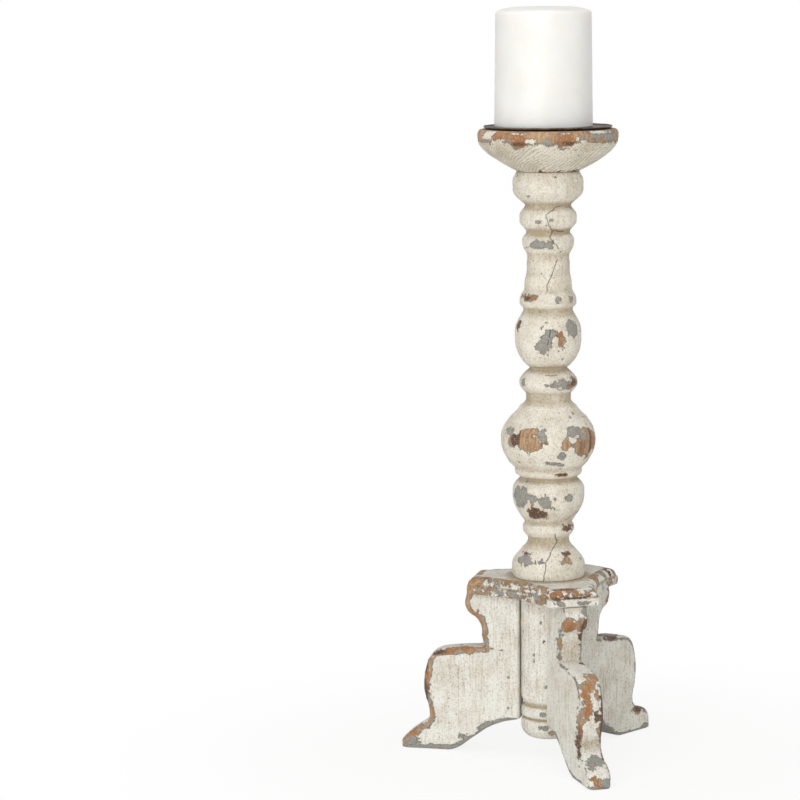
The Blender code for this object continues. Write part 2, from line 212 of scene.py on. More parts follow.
paintLook = {
    "turnedCream": "#F3EEE1", "turnedShade": "#E0D8C7", "boardCream": "#F5F4EC", "boardShade": "#E6E3D8",
    # the glaze colour serves both the wax in low spots and the painted shade in grooves and recesses
    "glazeAndShade": "#AE9E82", "primer": "#A3A098", "primerShade": "#85827B",
    "woodPale": "#C4A581", "woodDeep": "#9B7A5A", "woodDark": "#5C4334", "varnish": "#A46D3F",
    "pit": "#7D6A54", "crack": "#5B4A3A",
    "ragged": 0.75,      # mm that chip edges wander below the mesh's own detail
    "coatThick": 0.5,    # mm of paint over bare wood
}


def chalkPaintOnWood(name, tint, grainLines):
    # Brushed chalk paint over grey primer on softwood, sanded and chipped by hand: a dry, slightly
    # uneven pale coat with beige wax left in its low spots, painted shade darkening its grooves and recesses,
    # raised broken edges, and wood below.
    material, tree, shader = newMaterial(name)
    look = paintLook
    pale, shade = look[tint + "Cream"], look[tint + "Shade"]
    place = addNode(tree, "Attribute", attribute_name="woodPlace")   # mm, third axis along the grain
    fields = {key: addNode(tree, "Attribute", attribute_name=key).outputs["Fac"]
              for key in ("coatLoss", "primerLoss", "hollow", "darkWood", "crackSide", "crackReach",
                  "stain")}
    p = place.outputs["Vector"]

    def noise(scale, detail, rough=0.6, stretch=(1.0, 1.0, 1.0), warp=0.0):
        # scale is in cells per mm before the stretch
        mapped = addNode(tree, "Mapping", {"Vector": p, "Scale": stretch})
        return addNode(tree, "TexNoise", {"Vector": mapped.outputs[0], "Scale": scale, "Detail": detail,
                                          "Roughness": rough, "Distortion": warp}).outputs["Fac"]

    ragged = addNode(tree, "Math",
        {0: addNode(tree, "Math", {0: noise(0.75, 5.0, 0.7), 1: 0.5}, operation="SUBTRACT").outputs[0],
        1: 4.4 * look["ragged"]}, operation="MULTIPLY").outputs[0]
    raggedFine = addNode(tree, "Math",
        {0: addNode(tree, "Math", {0: noise(1.9, 3.0, 0.6), 1: 0.5}, operation="SUBTRACT").outputs[0],
        1: 2.6 * look["ragged"]}, operation="MULTIPLY").outputs[0]
    coatEdge = addNode(tree, "Math",
        {0: fields["coatLoss"],
        1: addNode(tree, "Math", {0: ragged, 1: raggedFine}, operation="ADD").outputs[0]},
        operation="ADD").outputs[0]
    coatGone = addNode(tree, "MapRange", {"Value": coatEdge, "From Min": -0.12, "From Max": 0.12},
        interpolation_type="SMOOTHSTEP").outputs["Result"]
    primerGone = addNode(tree, "MapRange",
        {"Value": addNode(tree, "Math",
        {0: fields["primerLoss"],
        1: addNode(tree, "Math",
        {0: ragged, 1: addNode(tree, "Math", {0: raggedFine, 1: 1.6}, operation="MULTIPLY").outputs[0]},
        operation="ADD").outputs[0]}, operation="ADD").outputs[0], "From Min": -0.15, "From Max": 0.2},
            interpolation_type="SMOOTHSTEP").outputs["Result"]

    # brush marks and open grain run along the wood, and beige wax lies in every low spot between
    # the coat's small ridges, which stand about 2 mm apart
    brush = noise(0.62, 4.0, 0.65, (1.0, 1.0, 0.07))
    speckle = noise(0.62, 4.0, 0.8)
    grit = noise(1.5, 2.0, 0.7)
    cloud = noise(0.055, 3.0, 0.6)
    low = addNode(tree, "Math",
        {0: addNode(tree, "Math",
        {0: addNode(tree, "MapRange", {"Value": speckle, "From Min": 0.51, "From Max": 0.63},
        interpolation_type="SMOOTHSTEP").outputs["Result"], 1: 0.54}, operation="MULTIPLY").outputs[0],
            1: addNode(tree, "Math",
            {0: addNode(tree, "MapRange", {"Value": grit, "From Min": 0.52, "From Max": 0.63},
            interpolation_type="SMOOTHSTEP").outputs["Result"], 1: 0.36}, operation="MULTIPLY").outputs[0]},
                operation="ADD").outputs[0]
    low = addNode(tree, "Math",
        {0: low, 1: addNode(tree, "Math",
        {0: addNode(tree, "MapRange", {"Value": brush, "From Min": 0.50, "From Max": 0.66},
        interpolation_type="SMOOTHSTEP").outputs["Result"], 1: grainLines},
            operation="MULTIPLY").outputs[0]}, operation="ADD").outputs[0]
    low = addNode(tree, "Math",
        {0: low, 1: addNode(tree, "Math", {0: 0.52, 1: cloud}, operation="ADD").outputs[0]},
        operation="MULTIPLY").outputs[0]
    # painted shade: the hollow field darkens grooves and recesses towards the glaze colour, along with wax left
    # there
    low = addNode(tree, "Math",
        {0: low, 1: addNode(tree, "Math",
        {0: fields["hollow"],
        1: addNode(tree, "Math",
        {0: 0.36, 1: addNode(tree, "Math", {0: speckle, 1: 0.95}, operation="MULTIPLY").outputs[0]},
        operation="ADD").outputs[0]}, operation="MULTIPLY").outputs[0]}, operation="ADD",
            use_clamp=True).outputs[0]
    cream = addNode(tree, "Mix",
        {0: addNode(tree, "MapRange", {"Value": cloud, "From Min": 0.40, "From Max": 0.70},
        interpolation_type="SMOOTHSTEP").outputs["Result"], 6: pale, 7: shade}, data_type="RGBA",
            blend_type="MIX").outputs[2]
    cream = addNode(tree, "Mix", {0: low, 6: cream, 7: look["glazeAndShade"]}, data_type="RGBA",
        blend_type="MIX").outputs[2]
    pits = addNode(tree, "MapRange",
        {"Value": addNode(tree, "TexVoronoi",
        {"Vector": p, "Scale": 0.30, "Randomness": 1.0}).outputs["Distance"], "From Min": 0.16,
        "From Max": 0.10}, interpolation_type="SMOOTHSTEP").outputs["Result"]
    pits = addNode(tree, "Math",
        {0: pits, 1: addNode(tree, "MapRange",
        {"Value": noise(0.16, 2.0), "From Min": 0.50, "From Max": 0.62},
        interpolation_type="SMOOTHSTEP").outputs["Result"]}, operation="MULTIPLY").outputs[0]
    cream = addNode(tree, "Mix",
        {0: addNode(tree, "Math", {0: pits, 1: 0.45}, operation="MULTIPLY").outputs[0], 6: cream,
        7: look["pit"]}, data_type="RGBA", blend_type="MIX").outputs[2]
    cream = addNode(tree, "Mix",
        {0: addNode(tree, "Math", {0: fields["stain"], 1: 0.12}, operation="MULTIPLY").outputs[0], 6: cream,
        7: look["woodPale"]}, data_type="RGBA", blend_type="MIX").outputs[2]

    primer = addNode(tree, "Mix",
        {0: addNode(tree, "MapRange", {"Value": speckle, "From Min": 0.40, "From Max": 0.66},
        interpolation_type="SMOOTHSTEP").outputs["Result"], 6: look["primer"], 7: look["primerShade"]},
            data_type="RGBA", blend_type="MIX").outputs[2]
    primer = addNode(tree, "Mix",
        {0: addNode(tree, "MapRange", {"Value": noise(1.1, 3.0, 0.7), "From Min": 0.60, "From Max": 0.68},
        interpolation_type="SMOOTHSTEP").outputs["Result"], 6: primer, 7: shade}, data_type="RGBA",
            blend_type="MIX").outputs[2]
    streak = noise(0.55, 5.0, 0.6, (1.0, 1.0, 0.09), 0.4)
    wood = addNode(tree, "Mix",
        {0: addNode(tree, "MapRange", {"Value": streak, "From Min": 0.36, "From Max": 0.64},
        interpolation_type="SMOOTHSTEP").outputs["Result"], 6: look["woodPale"], 7: look["woodDeep"]},
            data_type="RGBA", blend_type="MIX").outputs[2]
    wood = addNode(tree, "Mix",
        {0: addNode(tree, "Math",
        {0: fields["stain"], 1: addNode(tree, "MapRange",
        {"Value": speckle, "From Min": 0.30, "From Max": 0.55},
        interpolation_type="SMOOTHSTEP").outputs["Result"]}, operation="MULTIPLY").outputs[0], 6: wood,
            7: look["varnish"]}, data_type="RGBA", blend_type="MIX").outputs[2]
    wood = addNode(tree, "Mix",
        {0: addNode(tree, "Math",
        {0: fields["darkWood"],
        1: addNode(tree, "MapRange", {"Value": speckle, "From Min": 0.22, "From Max": 0.52},
        interpolation_type="SMOOTHSTEP").outputs["Result"]}, operation="MULTIPLY").outputs[0], 6: wood,
            7: look["woodDark"]}, data_type="RGBA", blend_type="MIX").outputs[2]
    # specks of coat left in the bare places
    flake = addNode(tree, "MapRange",
        {"Value": noise(0.8, 4.0, 0.75), "From Min": 0.595, "From Max": 0.645},
        interpolation_type="SMOOTHSTEP").outputs["Result"]
    wood = addNode(tree, "Mix",
        {0: addNode(tree, "Math", {0: flake, 1: 0.8}, operation="MULTIPLY").outputs[0], 6: wood, 7: shade},
        data_type="RGBA", blend_type="MIX").outputs[2]
    under = addNode(tree, "Mix", {0: primerGone, 6: primer, 7: wood}, data_type="RGBA",
        blend_type="MIX").outputs[2]
    colour = addNode(tree, "Mix", {0: coatGone, 6: cream, 7: under}, data_type="RGBA",
        blend_type="MIX").outputs[2]
    # shadow that a broken edge throws
    rim = addNode(tree, "Math",
        {0: addNode(tree, "MapRange", {"Value": coatEdge, "From Min": 0.75, "From Max": 0.15},
        interpolation_type="SMOOTHSTEP").outputs["Result"], 1: coatGone}, operation="MULTIPLY").outputs[0]
    colour = addNode(tree, "Mix",
        {0: addNode(tree, "Math", {0: rim, 1: 0.5}, operation="MULTIPLY").outputs[0], 6: colour,
        7: look["woodDark"]}, data_type="RGBA", blend_type="MIX").outputs[2]

    crackWide = addNode(tree, "Math",
        {0: addNode(tree, "Math", {0: fields["crackSide"], 1: 0.0}, operation="ABSOLUTE").outputs[0],
        1: addNode(tree, "Math", {0: raggedFine, 1: 0.3}, operation="MULTIPLY").outputs[0]},
        operation="ADD").outputs[0]
    crack = addNode(tree, "Math",
        {0: addNode(tree, "MapRange", {"Value": crackWide, "From Min": 0.50, "From Max": 0.12},
        interpolation_type="SMOOTHSTEP").outputs["Result"],
            1: addNode(tree, "MapRange", {"Value": fields["crackReach"], "From Min": 0.25, "From Max": 0.6},
            interpolation_type="SMOOTHSTEP").outputs["Result"]}, operation="MULTIPLY").outputs[0]
    colour = addNode(tree, "Mix",
        {0: addNode(tree, "Math", {0: crack, 1: 0.62}, operation="MULTIPLY").outputs[0], 6: colour,
        7: look["crack"]}, data_type="RGBA", blend_type="MIX").outputs[2]
    tree.links.new(colour, shader.inputs["Base Color"])

    roughness = addNode(tree, "Math",
        {0: 0.74, 1: addNode(tree, "Math", {0: coatGone, 1: -0.14}, operation="MULTIPLY").outputs[0]},
        operation="ADD").outputs[0]
    roughness = addNode(tree, "Math",
        {0: roughness, 1: addNode(tree, "Math",
        {0: addNode(tree, "Math", {0: speckle, 1: 0.5}, operation="SUBTRACT").outputs[0], 1: 0.25},
        operation="MULTIPLY").outputs[0]}, operation="ADD").outputs[0]
    tree.links.new(roughness, shader.inputs["Roughness"])
    shader.inputs["Specular IOR Level"].default_value = 0.32

    # height in mm: broken coat, brush ridges, pits, wood grain and cracks
    height = addNode(tree, "Math", {0: coatGone, 1: -look["coatThick"]}, operation="MULTIPLY").outputs[0]
    height = addNode(tree, "Math",
        {0: height, 1: addNode(tree, "Math",
        {0: addNode(tree, "Math", {0: primerGone, 1: coatGone}, operation="MULTIPLY").outputs[0], 1: -0.12},
        operation="MULTIPLY").outputs[0]}, operation="ADD").outputs[0]
    height = addNode(tree, "Math",
        {0: height, 1: addNode(tree, "Math", {0: brush, 1: -1.4 * grainLines},
        operation="MULTIPLY").outputs[0]}, operation="ADD").outputs[0]
    height = addNode(tree, "Math",
        {0: height, 1: addNode(tree, "Math", {0: speckle, 1: -1.25}, operation="MULTIPLY").outputs[0]},
        operation="ADD").outputs[0]
    height = addNode(tree, "Math",
        {0: height, 1: addNode(tree, "Math", {0: grit, 1: -0.42}, operation="MULTIPLY").outputs[0]},
        operation="ADD").outputs[0]
    height = addNode(tree, "Math",
        {0: height, 1: addNode(tree, "Math", {0: pits, 1: -0.35}, operation="MULTIPLY").outputs[0]},
        operation="ADD").outputs[0]
    height = addNode(tree, "Math",
        {0: height, 1: addNode(tree, "Math",
        {0: addNode(tree, "Math", {0: streak, 1: primerGone}, operation="MULTIPLY").outputs[0], 1: 0.18},
        operation="MULTIPLY").outputs[0]}, operation="ADD").outputs[0]
    height = addNode(tree, "Math",
        {0: height, 1: addNode(tree, "Math", {0: crack, 1: -0.9}, operation="MULTIPLY").outputs[0]},
        operation="ADD").outputs[0]
    bump = addNode(tree, "Bump", {"Height": height, "Distance": mm, "Strength": 1.0})
    tree.links.new(bump.outputs[0], shader.inputs["Normal"])
    return material


# Wear marks are height, bearing from the show side, half width, half height, tilt and kind.
# Kinds: grey shows primer, wood has grey left at its rim, dark is old bruised wood, stain tints.

def wearFields(base, local, marks, edgeWear, seed, scatter, bare=0.0):
    # Coat and primer loss are distances in mm inside the chip, made ragged by layered noise. Marks
    # follow in order: coat leaves paint on, grey leaves primer, wood and dark take both off.
    ragged = layeredNoise(base, 5.6, seed, 4, 0.66) * 2.3
    fine = layeredNoise(base, 2.4, seed + 7, 2) * 1.0
    islands = layeredNoise(base, 9.0, seed + 13, 3) * 2.6
    darkWood = np.clip(layeredNoise(base * (1.0, 1.0, 0.35), 8.0, seed + 17) * 1.3 - 0.25, 0.0, 1.0)
    stain = np.clip(layeredNoise(base, 11.0, seed + 19) * 1.6 + 0.15, 0.0, 0.75)
    coat = edgeWear + ragged + fine * 0.6
    primer = coat - 1.0 + islands * 0.75 + bare
    coat = np.maximum(coat, (layeredNoise(base, 4.2, seed + 23, 3) - scatter) * 9.0)
    for mark in marks:
        inside, kind = local(mark), mark[-1]
        edge = inside + np.clip((ragged + fine) * 1.3, -1.6, 1.6) * min(1.5, 0.5 * mark[-2])
        if kind == "stain":
            stain = np.maximum(stain, easeStep(edge + islands * 0.5, -1.0, 2.0))
            continue
        if kind == "coat":
            coat = np.minimum(coat, -edge)
            continue
        coat = np.maximum(coat, edge)
        if kind == "grey":
            primer = np.where(edge > 0.0, np.minimum(primer, -edge), primer)
        if kind == "wood":
            primer = np.maximum(primer, edge - 0.5 + islands * 0.35)
        if kind == "dark":
            primer = np.maximum(primer, edge + 0.4)
            darkWood = np.maximum(darkWood, easeStep(inside, -1.5, 0.3))
    return {"coatLoss": np.clip(coat, -6.0, 6.0), "primerLoss": np.clip(primer, -6.0, 6.0),
            "darkWood": darkWood, "stain": stain}


def crackFields(shape, lines, place, wander):
    # Signed distance across the nearest stretch of a crack, and a reach that is 1 along its length
    # and fades to 0 past its ends.
    side, along = np.full(shape, 4.0), np.zeros(shape)
    for line in lines:
        for start, end in zip(line, line[1:]):
            x, y = place(start)
            endX, endY = place(end)
            runX, runY = x - endX, y - endY
            length = np.hypot(runX, runY) + 1e-6
            t = (x * runX + y * runY) / length ** 2
            across = (x * runY - y * runX) / length
            past = np.maximum(np.maximum(-t, t - 1.0) * length, 0.0)
            within = easeStep(-past, -1.6, 0.0) * (np.abs(x) < 60.0) * (length < 60.0)
            nearer = (within > 0.0) & ((np.abs(across) < np.abs(side)) | (along <= 0.0))
            side, along = np.where(nearer, across, side), np.where(nearer, within, along)
    return {"crackSide": np.clip(side + wander, -4.0, 4.0), "crackReach": along}


def turnedPiece(name, nodes, stations, look, material, top, bottom, ring=False):
    # A turned surface: the outline swept round the stem axis, then roughened. Out-of-round and
    # tool ripple move it by noise, and paint stands proud of chips by the coat's thickness. The
    # hidden ends are rings of height and radius that close it.
    rng = np.random.default_rng(look["seed"])
    z, r = turnedProfile(stations, look["rows"])
    count = look["columns"]
    bearing = np.arange(count) * 360.0 / count
    bearing = ((bearing + 180.0) % 360.0 - 180.0)[None, :]
    turn = np.radians(bearing + showSide)
    shape = (len(z), count)
    height, radius = np.broadcast_to(z[:, None], shape), np.broadcast_to(r[:, None], shape)

    def swept(reach, level):
        return np.stack([stemAxis[0] + reach * np.cos(turn), stemAxis[1] + reach * np.sin(turn),
            level + 0.0 * turn], -1)

    base = swept(radius, height)
    normals = gridNormals(base)
    window = look["hollowRows"]
    average = np.convolve(np.pad(r, window, mode="edge"), np.ones(2 * window + 1) / (2 * window + 1),
        mode="valid")
    # how far the outline lies inside its own average
    lie = ((average - r) / look["hollowDepth"])[:, None]
    marks = list(look["marks"])
    for crest in look["crests"]:
        for step in range(look["hiddenMarks"]):
            # the sides that are turned away get marks of the same kinds at random
            big = rng.uniform(0.3, 1.0) * np.interp(-crest, -z, r)
            kind = rng.choice(["grey", "wood", "dark", "stain"], p=[0.45, 0.3, 0.13, 0.12])
            marks.append((crest + rng.uniform(-3.0, 3.0), rng.uniform(95.0, 265.0), 0.26 * big + 1.5,
                          0.15 * big + 1.2, rng.uniform(-25.0, 25.0), kind))

    def place(point):
        return np.radians((bearing - point[1] + 180.0) % 360.0 - 180.0) * radius, height - point[0]

    def local(mark):
        x, y = place(mark)
        tilt = math.radians(mark[4])
        u, v = x * math.cos(tilt) + y * math.sin(tilt), y * math.cos(tilt) - x * math.sin(tilt)
        return (1.0 - np.hypot(u / mark[2], v / mark[3])) * min(mark[2], mark[3])

    def sized(mark):
        return mark[:4] + (mark[4], min(mark[2], mark[3]), mark[5])

    edgeWear = look["edgeWear"](height, bearing, -lie)
    fields = wearFields(base, local, [sized(mark) for mark in marks], edgeWear, look["seed"],
        look["scatter"])
    fields.update(crackFields(shape, look["cracks"], place, layeredNoise(base, 6.0, look["seed"] + 5) * 1.1))
    # painted shade in the grooves, together with wax left there: darker the further the outline lies inside its
    # own average
    fields["hollow"] = np.clip(lie, 0.0,
        1.0) * np.clip(0.95 + 0.7 * layeredNoise(base, 14.0, look["seed"] + 3), 0.0, 1.4)
    fields["woodPlace"] = base
    lift = layeredNoise(base * (1.0, 1.0, 0.5), 22.0, look["seed"] + 41) * look["outOfRound"]
    lift = lift + layeredNoise(base, 3.2, look["seed"] + 43, 2) * 0.10
    lift = lift - easeStep(fields["coatLoss"], -0.35, 0.35) * paintLook["coatThick"] * 0.8
    for patch in look.get("thickCoat", ()):
        inside = local(patch) + layeredNoise(base, 5.0, look["seed"] + 47) * 0.9
        lift = lift + easeStep(inside, -0.4, 0.4) * look["patchRise"]
    if "ripple" in look:
        ripple = look["ripple"](height, radius, bearing, layeredNoise(base, 18.0, look["seed"] + 53))
        lift = lift + ripple
        fields["hollow"] = np.clip(fields["hollow"] - ripple / look["rippleDeep"] * 0.7, 0.0, 1.0)
    # meets its neighbours cleanly
    fade = easeStep(z[0] - height, 0.0, 1.5) * easeStep(height - z[-1], 0.0, 1.5)
    surface = base + normals * (lift * fade)[..., None]
    surface[..., 2] = np.clip(surface[..., 2], z[-1], z[0])
    rings = [[swept(np.full((1, 1), reach), np.full((1, 1), level)) for level,
        reach in part] for part in (top, bottom)]
    grid = np.concatenate(rings[0] + [surface] + rings[1], 0)
    padding = ((len(top), len(bottom)), (0, 0))
    joined = {key: np.pad(values, padding + ((0, 0),) * (values.ndim - 2), mode="edge")
              for key, values in fields.items()}
    joined["woodPlace"] = grid
    return settle(gridMesh(name, grid, joined, ring), "stand", nodes, material)


stemLook = {
    "seed": 11, "rows": 372, "columns": 252, "hollowRows": 10, "hollowDepth": 2.7, "outOfRound": 0.35,
    "scatter": 0.62, "hiddenMarks": 2,
    "crests": (455.0, 429.0, 411.0, 364.0, 345.0, 334.0, 300.0, 262.0, 250.0, 213.0, 184.0, 160.0),
    # height, radius, half the flat there, fullness of the run below
    "stations": (
        (465.3, 24.6, 0.0, 1.5), (454.6, 27.7, 3.0, 1.3), (439.0, 18.0, 0.4, 1.9),
        (428.8, 22.4, 2.2, 1.9), (418.0, 17.2, 0.4, 2.0), (410.9, 20.35, 1.5, 1.5),
        (398.5, 16.5, 1.5, 1.0), (386.0, 17.0, 0.0, 1.0), (374.0, 18.8, 0.0, 2.0),
        (363.5, 22.3, 1.5, 2.0), (357.3, 19.25, 0.3, 1.5), (337.0, 26.1, 3.0, 0.75),
        (311.5, 14.6, 0.4, 1.3), (299.5, 22.85, 0.6, 1.4), (288.4, 17.7, 2.4, 1.45),
        (255.0, 37.4, 1.2, 1.0), (230.1, 26.5, 1.6, 1.5), (223.7, 22.55, 0.4, 1.0),
        (212.0, 28.4, 2.0, 1.15), (188.4, 18.65, 0.4, 1.5), (183.5, 20.25, 1.5, 2.4),
        (175.0, 16.3, 0.5, 2.1), (152.0, 29.0, 2.0, 1.0), (144.6, 28.0, 0.0, 1.0)),
    # height, bearing from the show side, half width, half height, tilt, kind
    "marks": (
        (427.2, -22, 2.9, 1.4, 0, "grey"), (408.6, -15, 12.9, 2.9, 0, "grey"),
        (430.0, 17, 1.2, 6.0, 10, "stain"),
        (367.4, -44, 8.8, 2.7, 0, "wood"), (367.0, -50, 3.0, 1.6, 0, "dark"),
        (366.2, 21, 2.3, 2.0, 0, "grey"),
        (365.2, 55, 2.6, 2.8, 0, "grey"), (343.4, 47, 6.2, 6.7, 15, "grey"),
        (333.0, -8, 5.4, 7.7, -12, "grey"),
        (335.7, 5, 2.2, 5.4, -10, "grey"), (342.0, 0, 2.0, 1.4, 0, "grey"),
        (333.3, 23, 2.6, 6.4, 12, "wood"),
        (326.2, 18, 1.2, 1.1, 0, "wood"), (345.5, -67, 3.3, 4.4, 0, "dark"),
        (300.2, 46, 13.0, 3.6, 0, "grey"),
        (300.4, 60, 5.0, 2.4, 0, "dark"), (299.3, 5, 3.3, 1.5, 0, "grey"), (299.7, -60, 1.9, 2.7, 0, "grey"),
        (257.1, -24, 14.3, 9.7, 0, "wood"), (257.0, -40, 1.4, 7.5, 0, "dark"),
        (261.5, -8, 3.7, 5.1, 0, "grey"),
        (367.4, -44, 7.0, 2.0, 0, "stain"),
        (256.4, -10, 0.8, 1.8, 20, "coat"), (261.0, -16, 1.8, 0.6, 0, "coat"),
        (257.5, -46, 4.0, 5.0, 0, "dark"), (262.9, -59, 6.1, 3.3, 0, "grey"),
        (255.6, -50, 5.8, 4.3, 0, "wood"),
        (262.7, 33, 7.8, 3.3, 8, "grey"), (254.1, 23, 4.6, 3.4, 0, "wood"),
        (253.8, 55, 15.1, 10.7, 0, "wood"),
        (255.0, 63, 1.2, 8.0, 0, "dark"), (260.0, 48, 5.0, 2.0, 0, "grey"),
        (244.9, 18, 3.5, 2.9, -20, "grey"),
        (238.9, 8, 7.4, 1.3, -8, "grey"), (228.9, 27, 4.8, 0.8, 0, "dark"),
        (210.1, -54, 10.0, 8.0, 0, "grey"),
        (210.1, -26, 4.0, 4.3, 0, "grey"), (207.5, -4, 6.1, 5.6, 0, "grey"),
        (210.7, 33, 5.2, 4.0, 0, "grey"),
        (211.5, 10, 1.5, 2.2, 0, "grey"), (198.3, -22, 8.2, 4.6, 10, "dark"),
        (184.6, 53, 6.8, 2.8, 0, "wood"), (184.6, 53, 5.0, 2.0, 0, "dark"),
        (165.0, -48, 4.2, 0.8, 0, "dark"), (165.2, 39, 5.4, 1.4, 0, "dark"),
        (159.7, 33, 5.2, 2.0, 0, "wood"),
        (159.6, -50, 8.3, 2.8, 0, "grey"), (159.3, -17, 5.3, 1.9, 0, "grey")),
    # height and bearing of the points along each crack
    "cracks": (
        ((438.4, 32.0), (437.8, 20.0), (432.2, -2.0), (424.3, 0.0), (420.0, 12.0), (414.5, 4.0),
        (406.5, 22.0)),
        ((420.0, 12.0), (419.0, 40.0)), ((343.0, 4.0), (339.0, 3.0), (332.0, 0.0)),
        ((396.3, 25.6), (392.8, 18.6), (385.2, 7.9), (377.6, -1.8), (373.4, -1.8)),
        ((306.9, -4.0), (306.6, 20.0)), ((198.0, 69.0), (192.0, 40.0)),
        ((180.3, 14.9), (174.7, 23.9), (166.0, 5.4), (159.3, -4.5), (145.3, -7.0))),
    "patchRise": 1.0,      # mm that a later, thicker lick of paint stands up
    "thickCoat": ((430.0, 35.0, 14.8, 8.9, 0.0), (415.7, 42.0, 11.5, 3.4, 0.0)),
    "ridges": ((280.5, 0.75, 1.3), (236.6, 0.7, 1.2), (271.5, 0.35, 1.2), (394.0, 0.4, 1.0),
    (178.0, 0.35, 0.8),
               (167.0, 0.5, 0.9), (345.0, 0.25, 1.0)), "rippleDeep": 1.6,
    "crestWear": 2.6,      # how much the crests' wear leans towards bare
    "dowelBore": 6.3, "dowelTop": 442.4, "rodBore": 4.3, "rodTop": 186.6,
}


def stemWear(height, bearing, proud):
    # crests are rubbed a little; hollows keep their paint
    return -3.9 + stemLook["crestWear"] * np.clip(proud, 0.0, 1.2) + 0.0 * bearing


def stemRidges(height, radius, bearing, wander):
    # low rings left by the turning tool: a bell of each ring's height and width, faded by noise
    return sum(high * np.exp(-((height - middle) / width) ** 2) * (0.7 + wander) for middle, high,
        width in stemLook["ridges"])


stemLow, stemHigh = nodeBox("stem")
stemAxis = (stemLow[:2] + stemHigh[:2]) / 2.0
paint = chalkPaintOnWood("chalk paint, sanded back on softwood", "turned", 0.16)
stemLook["edgeWear"], stemLook["ripple"] = stemWear, stemRidges
stem = turnedPiece(
    "turned_stem", ("stem",), stemLook["stations"], stemLook, paint,
    top=((stemLook["dowelTop"], 0.0), (stemLook["dowelTop"], stemLook["dowelBore"]),
         (stemHigh[2], stemLook["dowelBore"]), (stemHigh[2], 23.9)),
    bottom=((stemLow[2], 27.3), (stemLow[2], stemLook["rodBore"]), (stemLook["rodTop"], stemLook["rodBore"]),
            (stemLook["rodTop"], 0.0)))

dishLook = {
    "seed": 23, "rows": 92, "columns": 420, "hollowRows": 14, "hollowDepth": 4.0, "outOfRound": 0.45,
    "scatter": 0.62, "hiddenMarks": 5, "crests": (492.0, 486.0, 476.0),
    "stations": ((498.2, 52.4, 0.0, 0.55), (493.6, 55.5, 0.7, 1.12), (465.6, 24.6, 0.0, 1.0)),
    "marks": (
        (491.8, -26, 7.0, 6.2, 0, "wood"), (491.8, -26, 8.0, 7.0, 0, "stain"),
        (491.8, 15, 8.5, 6.2, 0, "wood"),
        (491.0, 14, 9.5, 6.0, 0, "stain"), (488.6, -25, 4.2, 0.9, 4, "dark"),
        (489.0, 18, 5.2, 0.9, -4, "dark"),
        (490.9, -1, 1.9, 3.4, 0, "grey"), (495.0, 51, 22.0, 3.7, 0, "grey"),
        (491.5, 33, 7.0, 2.2, 0, "grey"),
        (497.0, 50, 14.0, 1.0, 0, "coat"), (495.0, -57, 6.7, 4.1, 0, "coat"),
        (489.8, -44, 7.0, 2.6, 0, "coat"),
        (490.5, -14, 3.4, 1.5, 0, "coat"), (496.6, -27, 5.0, 0.9, 0, "coat"),
        (489.8, 30, 3.0, 1.6, 0, "coat"),
        (496.8, 12, 4.0, 0.7, 0, "coat"), (492.0, 24, 1.5, 1.2, 0, "coat"),
        (466.2, 53, 5.6, 0.8, 0, "dark"), (466.3, 20, 1.6, 0.8, 0, "dark"),
        (466.2, -12, 1.2, 0.8, 0, "dark")),
    "cracks": (),
    "wornFrom": 488.6,       # height where the bare brown rim begins
    "rippleDeep": 0.36, "rippleApart": 3.1,    # tool ripple that runs slantwise across the cone
}


def dishWear(height, bearing, proud):
    # the whole rim is rubbed brown and the cone below keeps its paint
    return np.clip((height - dishLook["wornFrom"]) * 0.8, -5.0, 3.4) + 0.0 * bearing


def dishRipple(height, radius, bearing, wander):
    # sine waves across a slanted line: along the rim plus down the cone, bent by slow noise
    along = np.radians(bearing) * radius * 0.8 + (498.0 - height) * 1.1 + wander * 4.5
    share = easeStep(490.5 - height, 0.0, 3.0) * np.clip(0.75 + wander, 0.25, 1.0)
    return dishLook["rippleDeep"] * np.sin(2.0 * np.pi * along / dishLook["rippleApart"]) * share


dishLow, dishHigh = nodeBox("dish")
dishLook["edgeWear"], dishLook["ripple"] = dishWear, dishRipple
dish = turnedPiece(
    "turned_dish", ("dish",), dishLook["stations"], dishLook, paint,
    top=((dishHigh[2] - 12.9, 0.0), (dishHigh[2] - 12.9, 2.1), (dishHigh[2] - 3.2, 2.1),
         (dishHigh[2], 5.3), (dishHigh[2], 30.0), (dishHigh[2], 51.6)),
    bottom=((dishLow[2], 23.8), (dishLow[2], stemLook["dowelBore"]),
        (dishLow[2] + 13.8, stemLook["dowelBore"]),
            (dishLow[2] + 13.8, 0.0)))

postLook = {
    "seed": 37, "rows": 150, "columns": 150, "hollowRows": 6, "hollowDepth": 1.3, "outOfRound": 0.25,
    "scatter": 0.56, "hiddenMarks": 0, "crests": (),
    "stations": (
        (130.4, 22.0, 0.0, 1.0), (48.0, 22.0, 0.0, 2.0), (41.0, 19.8, 0.4, 1.4), (35.8, 22.0, 2.6, 1.4),
        (30.5, 19.8, 0.3, 1.2), (25.5, 22.0, 2.0, 0.7), (14.5, 15.0, 0.0, 1.0)),
    "marks": (
        (36.0, -14, 2.6, 1.4, 0, "grey"), (35.0, 9, 1.6, 1.0, 0, "grey"), (24.6, -8, 3.2, 1.5, 0, "grey"),
        (21.0, 6, 2.4, 1.6, 0, "wood"), (62.0, 4, 0.9, 2.6, 0, "grey"), (95.0, -10, 0.8, 1.6, 0, "dark"),
        (118.0, 8, 1.0, 1.0, 0, "grey")),
    "cracks": (),
}


def postWear(height, bearing, proud):
    return -3.7 + 1.2 * np.clip(proud, 0.0, 1.0) * (height < 46.0) + 0.0 * bearing


